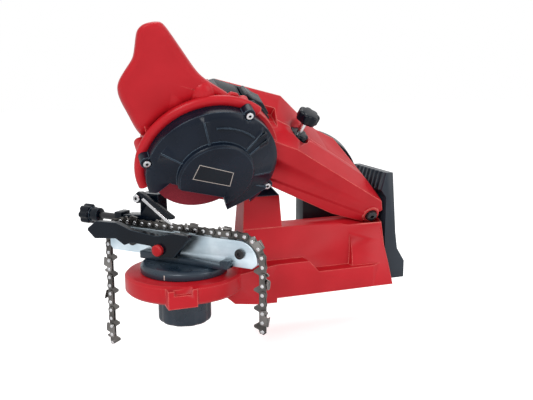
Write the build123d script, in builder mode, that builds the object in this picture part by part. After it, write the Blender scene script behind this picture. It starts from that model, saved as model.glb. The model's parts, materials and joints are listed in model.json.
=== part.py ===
from build123d import *
import os
from math import cos, pi, radians, sin

# Bench chainsaw sharpener, cordless. Millimetres, +Z up, origin at the centre of the
# bench-foot bolt pattern, on the bench. +X runs from the turning vice to the battery.
os.makedirs("parts", exist_ok=True)

# ---- clearances
running_gap = 0.05      # radial, shafts and pins in their bores
moving_gap = 0.3        # between bodies that move past each other
seat_gap = 0.1          # between chain and rail

# ---- placing of the main groups
vice_x = -160.0
vice_y = -30.0
rail_angle = 42.0       # the rail's turn away from the -Y direction
head_tilt = 30.0        # the grinding head leans this much to the front
arm_angle = 16.0        # raised arm, measured in the leaning plane
arm_drop = 5.8          # turn of the arm down to its stop

# ---- saw chain, 3/8 inch
chain_pitch = 9.525     # rivet to rivet
rivet_height = 84.0
rivet_radius = 2.0
link_thickness = 1.3
drive_thickness = 1.5
link_depth = 3.9        # rivet centre to the foot of a side link

# ---- wheel and spindle
wheel_radius = 50.0
wheel_width = 3.2
wheel_bore = 10.0
flange_radius = 14.0
flange_width = 3.4

# ---- guard
guard_a = -223.0        # guard centre in the arm's own plane, from the pivot
guard_b = 30.0
guard_wall = 2.0
guard_clearance = 2.5   # guard to wheel where they come closest
wheel_offset = 11.0     # wheel centre to guard centre, along the arm
wheel_drop = 0.5        # and across it
guard_back = -10.0      # joint between guard and head, along the spindle
guard_front = 19.0
hub_radius = 38.0

# ---- arm, head and pivot
arm_near = -8.0         # near side of the arm along the spindle
arm_far = -65.0         # far side
cheek_far = -30.0       # far side of the narrow rear end
boss_far = -60.0        # far end of the tower's boss
boss_radius = 14.0
pivot_radius = 5.0
spring_radius = 8.2     # middle of the return spring's wire
spring_wire = 1.8
spring_length = 12.0
pivot_x = 66.5
pivot_y = -23.45
pivot_z = 74.66
chamber_radius = 68.0
chamber_back = -36.0
motor_radius = 24.0
motor_far = -96.0
shell_wall = 3.0

# ---- depth stop on the arm
depth_a = -127.0        # along the arm
depth_d = -35.0         # through the arm
depth_screw_radius = 3.0
depth_tip = 19.0        # lower end of the screw, across the arm
depth_seat = 60.0       # boss on the arm under the locking knob
depth_bush_radius = 7.0
depth_bush_end = 42.0
stop_bolt_radius = 2.5

# ---- base
disc_radius = 61.0
disc_bottom = 21.0
disc_height = 19.0
body_left = -60.0       # bench edge
body_right = 84.0
body_near = -42.0
body_far = 58.0
ledge_left = 38.0
ledge_right = 25.0
deck_height = 74.0
column_left = -92.0
column_right = -45.0
column_height = 109.0
cap_height = 12.0
bench_hole_x = 100.0    # hole to hole
bench_hole_y = 60.0
bench_hole_radius = 3.0
bench_hole_depth = 18.0
pocket_x = 4.0          # middle of the ribbed underside
pocket_y = 0.0
pocket_size = 18.0
pocket_depth = 16.0
rib_width = 4.0

# ---- vice
table_radius = 45.0
table_height = 9.7
vice_bolt_radius = 5.0
lock_knob_radius = 28.0
lock_knob_bottom = -14.0
lock_knob_height = 28.0
plate_gap = 1.9
plate_thickness = 2.5
plate_left = -93.0
plate_right = 88.0
plate_bottom = 52.0
body_strip_left = -46.0
body_strip_right = 60.0
strip_half_width = 14.0
lever_near = 21.5       # outer face of the clamping lever, across the rail

# ---- battery holder
holder_right = 92.0
holder_height = 127.0
holder_near = -21.0
holder_far = 59.0
cover_thickness = 2.0
electronics_left = 5.0
electronics_top = 98.0
electronics_depth = 20.0
boss_spacing_x = 70.0   # bosses of the cover's screws
boss_spacing_z = 63.0


# ======== frames ========
guard_radius = wheel_radius + wheel_offset + guard_clearance + guard_wall
wheel_a = guard_a - wheel_offset
wheel_b = guard_b - wheel_drop
disc_top = disc_bottom + disc_height
tilt_sin = sin(radians(head_tilt))
tilt_cos = cos(radians(head_tilt))
head_right = Vector(1, 0, 0)
head_up = Vector(0, -tilt_sin, tilt_cos)
head_near = Vector(0, -tilt_cos, -tilt_sin)
arm_cos = cos(radians(arm_angle))
arm_sin = sin(radians(arm_angle))
arm_x = head_right * arm_cos - head_up * arm_sin
arm_y = head_right * arm_sin + head_up * arm_cos
pivot = Vector(pivot_x, pivot_y, pivot_z)
arm_plane = Plane(origin=pivot, x_dir=arm_x, z_dir=head_near)

rail_right = Vector(sin(radians(rail_angle)), -cos(radians(rail_angle)), 0)
rail_near = Vector(-cos(radians(rail_angle)), -sin(radians(rail_angle)), 0)
vice_centre = Vector(vice_x, vice_y, 0)
vice_plane = Plane(origin=vice_centre, x_dir=rail_right, z_dir=rail_near)


def arm_point(a, b, d=0.0):
    """A point by its place along, across and through the arm."""
    return pivot + arm_x * a + arm_y * b + head_near * d


def spindle_section(a, b):
    """Plane through a spindle axis: x outwards from the axis, y along it."""
    return Plane(origin=arm_point(a, b), x_dir=arm_x, z_dir=arm_y * -1)


def spindle_axis(a, b):
    return Axis(arm_point(a, b), head_near)


def screw_plane(a, b, d):
    """Plane square to the arm's top, its normal pointing out of the arm."""
    return Plane(origin=arm_point(a, b, d), x_dir=arm_x, z_dir=arm_y)


def lowered(vector):
    """A direction of the arm once the arm is down on its stop."""
    return vector.rotate(Axis((0, 0, 0), head_near), arm_drop)


def rail_point(s, z, t=0.0):
    return vice_centre + rail_right * s + rail_near * t + Vector(0, 0, z)


def rail_end_plane(s, z, t):
    """Plane square to the rail, its normal towards the rail's left end."""
    return Plane(origin=rail_point(s, z, t), x_dir=rail_near, z_dir=rail_right * -1)


def save(piece, name):
    piece.part.label = name
    export_step(piece.part, f"parts/{name}.step")


# ======== base ========
with BuildPart() as lower_body:
    # plan of neck and plinth
    with BuildSketch(Plane.XY.offset(-5)):
        with BuildLine():
            Polyline(
                (vice_x + 5, vice_y - 52),
                (body_left, body_near),
                (body_right - 26, body_near),
                (body_right, body_near + 16),
                (body_right, body_far),
                (body_left, body_far),
                (body_left, vice_y + 50),
                (vice_x + 5, vice_y + 50),
                close=True,
            )
        make_face()
    extrude(amount=60)
    # side profile: the neck drops to a lip over the bench edge
    with BuildSketch(Plane.XZ.offset(-body_far - 10)):
        with BuildLine():
            Polyline(
                (vice_x, disc_bottom),
                (vice_x + 30, disc_bottom),
                (vice_x + 44, 8),
                (body_left - 23, -1),
                (body_left, -5),
                (body_left, 0),
                (body_right, 0),
                (body_right, ledge_right),
                (body_left + 50, ledge_right),
                (body_left + 38, ledge_left),
                (vice_x, ledge_left),
                close=True,
            )
        make_face()
    extrude(amount=body_far - body_near + 80, mode=Mode.INTERSECT)

with BuildPart() as base_casting:
    # round front that carries the turning vice
    with BuildSketch(Plane.XY.offset(disc_bottom)):
        with Locations((vice_x, vice_y)):
            Circle(disc_radius)
    extrude(amount=disc_height)
    chamfer(base_casting.edges().filter_by(GeomType.CIRCLE), 2.5)
    add(lower_body.part)
    # stepped lug at the front of the disc
    with BuildSketch(Plane.XY.offset(disc_bottom - 1)):
        with Locations((vice_x - 17.5, vice_y - disc_radius + 8)):
            Rectangle(29, 20)
    extrude(amount=disc_height - 1)
    with BuildSketch(Plane.XY.offset(disc_bottom + 12)):
        with Locations((vice_x - 17, vice_y - disc_radius - 2)):
            Rectangle(18, 8)
    extrude(amount=disc_height, mode=Mode.SUBTRACT)
    # spine that rises to the deck
    with BuildSketch(Plane.XY.offset(20)):
        with Locations(((column_left - 4 + body_right) / 2, -6)):
            Rectangle(body_right - column_left + 4, 40)
    extrude(amount=deck_height - 20, taper=6)
    # column under the depth stop
    with BuildSketch(Plane.XY.offset(deck_height - 10)):
        with Locations(((column_left + column_right) / 2, -6)):
            Rectangle(column_right - column_left, 29)
    extrude(amount=column_height - deck_height + 10, taper=4)
    # flared pedestal under the pivot tower
    with BuildSketch(Plane.XY):
        with Locations((body_right - 28, -5)):
            Rectangle(56, 74)
    with BuildSketch(Plane.XY.offset(36)):
        with Locations((body_right - 26, -3)):
            Rectangle(44, 56)
    with BuildSketch(Plane.XY.offset(66)):
        with Locations((body_right - 28, 6)):
            Rectangle(40, 52)
    loft()
    # pivot boss behind the arm's cheek
    with BuildSketch(arm_plane.offset(cheek_far - moving_gap)):
        Circle(boss_radius)
    extrude(amount=boss_far - cheek_far + moving_gap)
    # tower that carries the boss
    with BuildSketch(Plane.XY.offset(60)):
        with Locations((pivot_x, 18)):
            Rectangle(32, 28)
    extrude(amount=34, taper=4)
    # room for the arm's rear end over its whole travel
    with BuildSketch(arm_plane.offset(arm_near + 8)):
        with BuildLine():
            Polyline((-95, -9.5), (-51, -15.2), (-4, -14), (8, -11.5), (17, 4), (17, 60), (-95, 60), close=True)
        make_face()
    extrude(amount=cheek_far - moving_gap - arm_near - 8, mode=Mode.SUBTRACT)
    # bore of the pivot bolt
    with BuildSketch(arm_plane.offset(cheek_far + 1)):
        Circle(pivot_radius + running_gap)
    extrude(amount=boss_far - cheek_far - 8, mode=Mode.SUBTRACT)
    # ring-shaped pocket of the arm's return spring
    with BuildSketch(arm_plane.offset(cheek_far)):
        Circle(spring_radius + spring_wire / 2 + moving_gap)
        Circle(spring_radius - spring_wire / 2 - moving_gap, mode=Mode.SUBTRACT)
    extrude(amount=-spring_length - 2 * moving_gap, mode=Mode.SUBTRACT)
    # bolt hole of the vice
    with BuildSketch(Plane.XY):
        with Locations((vice_x, vice_y)):
            Circle(vice_bolt_radius + running_gap)
    extrude(amount=disc_top + 1, mode=Mode.SUBTRACT)
    # ribbed underside: pockets between the bolt bosses
    with BuildSketch(Plane.XY):
        with Locations((pocket_x, pocket_y)):
            with GridLocations(pocket_size + rib_width, pocket_size + rib_width, 3, 2):
                Rectangle(pocket_size, pocket_size)
    extrude(amount=pocket_depth, taper=2, mode=Mode.SUBTRACT)
    # blind holes for the bench bolts
    with BuildSketch(Plane.XY):
        with GridLocations(bench_hole_x, bench_hole_y, 2, 2):
            Circle(bench_hole_radius)
    extrude(amount=bench_hole_depth, mode=Mode.SUBTRACT)

with BuildPart() as column_cap:
    with BuildSketch(Plane.XY.offset(column_height)):
        with Locations(((column_left + column_right) / 2 - 0.5, -6)):
            Rectangle(42, 24)
    with BuildSketch(Plane.XY.offset(column_height + cap_height)):
        with Locations(((column_left + column_right) / 2 + 2, -6)):
            Rectangle(16, 14)
    loft()

# bolt on the cap that the depth screw comes down to
stop_place = pivot + lowered(arm_point(depth_a, depth_tip, depth_d) - pivot)
stop_plane = Plane(origin=stop_place, x_dir=lowered(arm_x), z_dir=lowered(arm_y))
stop_bolt_length = 24.0
with BuildPart() as stop_bolt:
    with BuildSketch(stop_plane.offset(-moving_gap)):
        RegularPolygon(4.6, 6)
    extrude(amount=-3.5)
    with BuildSketch(stop_plane.offset(-moving_gap - 3)):
        Circle(stop_bolt_radius)
    extrude(amount=3 - stop_bolt_length)

with BuildPart() as stop_bolt_hole:
    with BuildSketch(stop_plane):
        Circle(stop_bolt_radius)
    extrude(amount=-stop_bolt_length - 1)

base_casting.part -= stop_bolt_hole.part
column_cap.part -= stop_bolt_hole.part
save(base_casting, "base_casting")
save(column_cap, "column_cap")
save(stop_bolt, "stop_bolt")


# ======== turning vice ========
table_bottom = disc_top + moving_gap
table_top = table_bottom + table_height
plate_inner = plate_gap / 2
plate_outer = plate_inner + plate_thickness
link_sag = 0.65         # a straight link's foot dips this much on the rail's bends
plate_top = rivet_height - link_depth - seat_gap - link_sag
turn_radius = 26.0      # rivet path round the rail's nose
tail_radius = 18.0      # rivet path round the rail's tail
nose_centre = (plate_right + seat_gap + link_depth + link_sag - turn_radius, rivet_height - turn_radius)
tail_centre = (plate_left - seat_gap - link_depth - link_sag + tail_radius, rivet_height - tail_radius)
nose_radius = turn_radius - link_depth - seat_gap - link_sag
tail_edge_radius = tail_radius - link_depth - seat_gap - link_sag
lever_pivot = (-16.0, 64.0)
lever_bore = 3.0
rail_screws = ((69.0, 66.0), (-62.0, 65.0))
rail_screw_radius = 2.5
screw_line = (-13.0, 84.0)      # adjusting screw: across the rail, height
screw_radius = 2.5
carriage_left = -80.0
bearing_left = -92.0
bearing_width = 9.0
shoulder_radius = 3.8
pawl_pivot = (-53.0, 112.0)
pawl_bolt_radius = 2.5
pawl_width = 5.0

with BuildPart() as turntable:
    with BuildSketch(Plane.XY.offset(table_bottom)):
        with Locations((vice_x, vice_y)):
            Circle(table_radius)
    extrude(amount=table_height)
    chamfer(turntable.faces().sort_by(Axis.Z)[-1].edges(), 3)
    with BuildSketch(Plane.XY.offset(table_bottom - 1)):
        with Locations((vice_x, vice_y)):
            Circle(vice_bolt_radius)
    extrude(amount=table_height + 2, mode=Mode.SUBTRACT)

# channel that holds the two rail plates
with BuildPart() as vice_body:
    with BuildSketch(vice_plane.offset(-strip_half_width)):
        with BuildLine():
            Polyline(
                (body_strip_left, table_top),
                (body_strip_right - 8, table_top),
                (body_strip_right, table_top + 1),
                (body_strip_right, plate_bottom + 7),
                (body_strip_right - 9, plate_bottom + 7),
                (body_strip_right - 9, plate_bottom + 2),
                (body_strip_left, plate_bottom + 6),
                close=True,
            )
        make_face()
    extrude(amount=2 * strip_half_width)
    with BuildSketch(vice_plane.offset(-plate_outer)):
        with Locations((0, plate_bottom + 20)):
            Rectangle(400, 40)
    extrude(amount=2 * plate_outer, mode=Mode.SUBTRACT)


def rail_plate(inner_offset):
    """One flat plate of the rail, its nose and tail rounded for the chain."""
    with BuildPart() as plate:
        with BuildSketch(vice_plane.offset(inner_offset)):
            with BuildLine():
                Line((tail_centre[0], plate_top), (nose_centre[0], plate_top))
                RadiusArc(
                    (nose_centre[0], plate_top),
                    (nose_centre[0] + nose_radius, nose_centre[1]),
                    nose_radius,
                )
                Polyline(
                    (nose_centre[0] + nose_radius, nose_centre[1]),
                    (nose_centre[0] + nose_radius - 1, plate_bottom + 4),
                    (nose_centre[0] + nose_radius - 6, plate_bottom),
                    (plate_left + 4, plate_bottom),
                    (tail_centre[0] - tail_edge_radius, plate_bottom + 4),
                    (tail_centre[0] - tail_edge_radius, tail_centre[1]),
                )
                RadiusArc(
                    (tail_centre[0] - tail_edge_radius, tail_centre[1]),
                    (tail_centre[0], plate_top),
                    tail_edge_radius,
                )
            make_face()
            with Locations(*rail_screws):
                Circle(rail_screw_radius, mode=Mode.SUBTRACT)
            with Locations(lever_pivot):
                Circle(lever_bore, mode=Mode.SUBTRACT)
        extrude(amount=plate_thickness)
    return plate


rail_front = rail_plate(plate_inner)
rail_back = rail_plate(-plate_outer)

# through screws with round heads, one at each end of the rail
with BuildPart() as rail_screw_pair:
    with BuildSketch(vice_plane.offset(-plate_outer - 3)):
        with Locations(*rail_screws):
            Circle(rail_screw_radius)
    extrude(amount=2 * plate_outer + 4)
    with BuildSketch(vice_plane.offset(plate_outer)):
        with Locations(*rail_screws):
            Circle(5)
    extrude(amount=3)
    with BuildSketch(vice_plane.offset(plate_outer + 3)):
        with Locations(*rail_screws):
            RegularPolygon(2, 6)
    extrude(amount=-1.5, mode=Mode.SUBTRACT)

with BuildPart() as rail_nuts:
    with BuildSketch(vice_plane.offset(-plate_outer)):
        with Locations(*rail_screws):
            RegularPolygon(4.6, 6)
            Circle(rail_screw_radius, mode=Mode.SUBTRACT)
    extrude(amount=-3)

with BuildPart() as rail_spacers:
    with BuildSketch(vice_plane.offset(-plate_inner)):
        with Locations(*rail_screws):
            Circle(4)
            Circle(rail_screw_radius, mode=Mode.SUBTRACT)
    extrude(amount=plate_gap)

# bolt through both plates that the clamping lever turns on
with BuildPart() as lever_bolt:
    with BuildSketch(vice_plane.offset(-plate_outer - 4)):
        with Locations(lever_pivot):
            Circle(lever_bore)
    extrude(amount=lever_near + plate_outer + 4)
    with BuildSketch(vice_plane.offset(-plate_outer)):
        with Locations(lever_pivot):
            RegularPolygon(5, 6)
    extrude(amount=-4)

with BuildPart() as lever_cap:
    with BuildSketch(vice_plane.offset(lever_near + moving_gap)):
        with Locations(lever_pivot):
            Circle(6)
    extrude(amount=5)
    chamfer(lever_cap.edges().filter_by(GeomType.CIRCLE).sort_by(Axis(vice_centre, rail_near))[-1], 1)
    with BuildSketch(vice_plane.offset(lever_near - 1)):
        with Locations(lever_pivot):
            Circle(lever_bore)
    extrude(amount=1 + moving_gap, mode=Mode.SUBTRACT)

with BuildPart() as clamp_lever:
    with BuildSketch(vice_plane.offset(lever_near - 7)):
        with BuildLine():
            Polyline(
                (-110, 76), (-99, 67), (-71, 70), (-60, 64), (-50, 68),
                (-26, 67), (-16, 56), (2, 58), (16, 74), (22, 82),
                (2, 83), (-20, 78), (-51, 81), (-71, 87), (-97, 86), close=True,
            )
        make_face()
        fillet(vertices(), 2.5)
        with Locations(lever_pivot):
            Circle(lever_bore + running_gap, mode=Mode.SUBTRACT)
    extrude(amount=7)
    with BuildSketch(vice_plane.offset(plate_outer + moving_gap)):
        with Locations(lever_pivot):
            Circle(5)
            Circle(lever_bore + running_gap, mode=Mode.SUBTRACT)
    extrude(amount=lever_near - 7 - plate_outer - moving_gap)

save(turntable, "turntable")
save(vice_body, "vice_body")
save(rail_front, "rail_plate_front")
save(rail_back, "rail_plate_back")
save(rail_screw_pair, "rail_screws")
save(rail_nuts, "rail_nuts")
save(rail_spacers, "rail_spacers")
save(lever_bolt, "lever_bolt")
save(lever_cap, "lever_cap")
save(clamp_lever, "clamp_lever")

# vice bolt and its locking knob under the base
with BuildPart() as vice_bolt:
    with BuildSketch(Plane.XY.offset(lock_knob_bottom + 8)):
        with Locations((vice_x, vice_y)):
            Circle(vice_bolt_radius)
    extrude(amount=table_top - lock_knob_bottom - 8)

with BuildPart() as lock_knob:
    with BuildSketch(Plane.XY.offset(lock_knob_bottom)):
        with Locations((vice_x, vice_y)):
            Circle(lock_knob_radius)
    extrude(amount=lock_knob_height)
    chamfer(lock_knob.edges().filter_by(GeomType.CIRCLE), 3)
    with BuildSketch(Plane.XY.offset(lock_knob_bottom + lock_knob_height)):
        with Locations((vice_x, vice_y)):
            Circle(14)
    extrude(amount=disc_bottom - moving_gap - lock_knob_bottom - lock_knob_height)
    with BuildSketch(Plane.XY.offset(lock_knob_bottom + 7)):
        with Locations((vice_x, vice_y)):
            Circle(vice_bolt_radius + running_gap)
    extrude(amount=disc_bottom - lock_knob_bottom, mode=Mode.SUBTRACT)

save(vice_bolt, "vice_bolt")
save(lock_knob, "lock_knob")

# chain stop: sliding carriage behind the rail with the pawl's post
stop_near = -plate_outer - moving_gap
with BuildPart() as stop_carriage:
    with BuildSketch(vice_plane.offset(screw_line[0] - 6)):
        with BuildLine():
            Polyline(
                (carriage_left, 71), (-31, 71), (-31, 78), (-33, 116), (-56, 116),
                (-57, 92), (carriage_left, 90), close=True,
            )
        make_face()
    extrude(amount=stop_near - screw_line[0] + 6)
    with BuildSketch(rail_end_plane(-20, screw_line[1], screw_line[0])):
        Circle(screw_radius + running_gap)
    extrude(amount=100, mode=Mode.SUBTRACT)
    # arm that reaches over the chain to the pawl
    with BuildSketch(vice_plane.offset(stop_near)):
        with Locations(pawl_pivot):
            Circle(6)
    extrude(amount=-stop_near)
    with BuildSketch(vice_plane.offset(-4)):
        with Locations(pawl_pivot):
            Circle(pawl_bolt_radius)
    extrude(amount=4, mode=Mode.SUBTRACT)

with BuildPart() as pawl:
    with BuildSketch(vice_plane.offset(moving_gap)):
        with BuildLine():
            Polyline((-59, 113), (-53, 119), (-46, 117), (-9, 96), (-9, 93.5), (-14, 92.5), (-46, 108), (-55, 106), close=True)
        make_face()
        with Locations(pawl_pivot):
            Circle(pawl_bolt_radius + running_gap, mode=Mode.SUBTRACT)
    extrude(amount=pawl_width)

# bright blade on the pawl's near face
with BuildPart() as pawl_blade:
    with BuildSketch(vice_plane.offset(moving_gap + pawl_width)):
        with BuildLine():
            Polyline((-48, 111), (-45, 113), (-14, 92), (-9, 88.5), (-10, 87), (-17, 90), close=True)
        make_face()
    extrude(amount=1)

with BuildPart() as pawl_bolt:
    with BuildSketch(vice_plane.offset(-4)):
        with Locations(pawl_pivot):
            Circle(pawl_bolt_radius)
    extrude(amount=4 + pawl_width + 2 * moving_gap)
    with BuildSketch(vice_plane.offset(pawl_width + 2 * moving_gap)):
        with Locations(pawl_pivot):
            RegularPolygon(4.5, 6)
    extrude(amount=3)

# adjusting screw with its knob at the rail's left end
with BuildPart() as adjusting_screw:
    with BuildSketch(rail_end_plane(-40, screw_line[1], screw_line[0])):
        Circle(screw_radius)
    extrude(amount=86)
    # shoulder between bearing and knob
    with BuildSketch(rail_end_plane(bearing_left - moving_gap, screw_line[1], screw_line[0])):
        Circle(shoulder_radius)
    extrude(amount=118 + bearing_left - moving_gap)

with BuildPart() as adjusting_knob:
    with BuildSketch(rail_end_plane(-125, screw_line[1], screw_line[0])):
        Circle(11.5)
    extrude(amount=18)
    chamfer(adjusting_knob.edges().filter_by(GeomType.CIRCLE), 2)
    with BuildSketch(rail_end_plane(-119, screw_line[1], screw_line[0])):
        Circle(8)
    extrude(amount=6)
    with BuildSketch(rail_end_plane(-118, screw_line[1], screw_line[0])):
        Circle(screw_radius)
    extrude(amount=9, mode=Mode.SUBTRACT)

# bearing block of the screw, fixed on the back plate
with BuildPart() as screw_bearing:
    with BuildSketch(vice_plane.offset(screw_line[0] - 7)):
        with Locations((bearing_left + bearing_width / 2, 74)):
            Rectangle(bearing_width, 36)
    extrude(amount=7 - screw_line[0] - plate_outer)
    with BuildSketch(rail_end_plane(-80, screw_line[1], screw_line[0])):
        Circle(screw_radius + running_gap)
    extrude(amount=20, mode=Mode.SUBTRACT)

save(stop_carriage, "stop_carriage")
save(pawl, "pawl")
save(pawl_blade, "pawl_blade")
save(pawl_bolt, "pawl_bolt")
save(adjusting_screw, "adjusting_screw")
save(adjusting_knob, "adjusting_knob")
save(screw_bearing, "screw_bearing")


# ======== saw chain on the rail ========
left_hang = 124.0       # rivet path below the tail's round end
right_hang = 82.0       # below the nose's round end
tail_arc = tail_radius * pi / 2
nose_arc = turn_radius * pi / 2
top_run = nose_centre[0] - tail_centre[0]
path_length = left_hang + tail_arc + top_run + nose_arc + right_hang
rivet_count = 2 * int((path_length / chain_pitch) // 2)


def chain_place(distance):
    """Point of the rivet path (along the rail, height) at a distance from its left end."""
    if distance < left_hang:
        return (tail_centre[0] - tail_radius, tail_centre[1] - left_hang + distance)
    distance -= left_hang
    if distance < tail_arc:
        angle = distance / tail_radius
        return (tail_centre[0] - tail_radius * cos(angle), tail_centre[1] + tail_radius * sin(angle))
    distance -= tail_arc
    if distance < top_run:
        return (tail_centre[0] + distance, rivet_height)
    distance -= top_run
    if distance < nose_arc:
        angle = distance / turn_radius
        return (nose_centre[0] + turn_radius * sin(angle), nose_centre[1] + turn_radius * cos(angle))
    return (nose_centre[0] + turn_radius, nose_centre[1] + nose_arc - distance)


rivets = [chain_place(k * chain_pitch) for k in range(rivet_count)]


def link_plane(k, offset):
    """Plane of link k: x from its first rivet to its second, y outwards from the rail."""
    (s0, z0), (s1, z1) = rivets[k], rivets[k + 1]
    along = (rail_right * (s1 - s0) + Vector(0, 0, z1 - z0)).normalized()
    return Plane(origin=rail_point((s0 + s1) / 2, (z0 + z1) / 2, offset), x_dir=along, z_dir=rail_near)


drive_outline = ((-8, 1), (-6, 3.5), (6, 3.5), (8, 1), (7, -3.5), (3.5, -4.5), (1.5, -10), (-1, -10), (-5, -4))
strap_outline = ((-8, 0), (-6, 3.6), (6, 3.6), (8, 0), (7, -2.5), (5, -link_depth), (-5, -link_depth), (-7, -2.5))
cutter_outline = ((-8, 0), (-8.5, 4), (-6.5, 6.5), (-4, 3.6), (-2.5, 3.6), (-1.5, 7.4), (8, 6.6), (8, 0),
                  (7, -2.5), (5, -link_depth), (-5, -link_depth), (-7, -2.5))
side_near = drive_thickness / 2 + 0.05
side_far = -side_near - link_thickness


def link_row(outline, places, thickness):
    """One kind of link: a separate solid at each (link, offset) place."""
    with BuildPart() as row:
        for k, offset in places:
            with BuildSketch(link_plane(k, offset)):
                with BuildLine():
                    Polyline(*outline, close=True)
                make_face()
            extrude(amount=thickness)
    return row


drive_places = [(k, -drive_thickness / 2) for k in range(0, rivet_count - 1, 2)]
side_links = list(range(1, rivet_count - 1, 2))
right_cutters = [(k, side_near) for k in side_links[0::4]]
left_cutters = [(k, side_far) for k in side_links[2::4]]
cutter_links = right_cutters + left_cutters
strap_places = [(k, offset) for k in side_links for offset in (side_near, side_far) if (k, offset) not in cutter_links]

chain_drive_links = link_row(drive_outline, drive_places, drive_thickness)
chain_tie_straps = link_row(strap_outline, strap_places, link_thickness)
chain_cutters_right = link_row(cutter_outline, right_cutters, link_thickness)
chain_cutters_left = link_row(cutter_outline, left_cutters, link_thickness)
rivet_length = 2 * (side_near + link_thickness + 0.6)

with BuildPart() as chain_rivets:
    with BuildSketch(vice_plane.offset(-rivet_length / 2)):
        with Locations(*rivets):
            RegularPolygon(rivet_radius, 6)
    extrude(amount=rivet_length)

save(chain_drive_links, "chain_drive_links")
save(chain_tie_straps, "chain_tie_straps")
save(chain_cutters_right, "chain_cutters_right")
save(chain_cutters_left, "chain_cutters_left")
save(chain_rivets, "chain_rivets")


# ======== arm and grinding head ========
lobe_half = 25.0
lobe_middle = -35.0
lobe_outline = (
    (-329, 127), (-328, 135), (-318, 144), (-311, 142), (-259, 103), (-215, 92),
    (-235, 20), (-270, -12), (-281, -6), (-286, 15), (-285, 24), (-306, 45), (-324, 64), (-327, 83),
)

with BuildPart() as handle_lobe:
    with BuildSketch(arm_plane.offset(lobe_middle)) as lobe_profile:
        with BuildLine():
            Polyline(*lobe_outline, close=True)
        make_face()
        fillet(vertices(), 4)
    extrude(amount=lobe_half, taper=14)
    extrude(lobe_profile.sketch, amount=-lobe_half, taper=14)

with BuildPart() as arm_front:
    # near side of the arm, back to the plane of the tower
    with BuildSketch(arm_plane.offset(arm_near)):
        with BuildLine():
            Polyline(
                (-225, 74), (-169, 68), (-137, 64), (-76, 45), (-22, 28.5), (3, 21),
                (12, 9), (-5, -12), (-52, -8), (-145, 14), (-225, 30), close=True,
            )
        make_face()
    with BuildSketch(arm_plane.offset(cheek_far)):
        with BuildLine():
            Polyline(
                (-226, 80), (-162, 76), (-132, 70), (-81, 55), (-22, 36), (12, 15.5),
                (14, 6), (-5, -12), (-52, -8), (-145, 20), (-226, 34), close=True,
            )
        make_face()
    loft(ruled=True)

with BuildPart() as arm_rear:
    # far side, which narrows before the tower
    with BuildSketch(arm_plane.offset(cheek_far)):
        with BuildLine():
            Polyline(
                (-226, 80), (-162, 76), (-132, 70), (-81, 55), (-22, 36),
                (-22, -6), (-52, -8), (-145, 20), (-226, 34), close=True,
            )
        make_face()
    with BuildSketch(arm_plane.offset(arm_far)):
        with BuildLine():
            Polyline(
                (-228, 90), (-150, 90), (-122, 76), (-89, 61), (-60, 55),
                (-62, 14), (-80, 14), (-145, 32), (-228, 40), close=True,
            )
        make_face()
    loft(ruled=True)

motor_cavity = motor_radius + moving_gap
head_wall_far = motor_far - moving_gap - shell_wall

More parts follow.
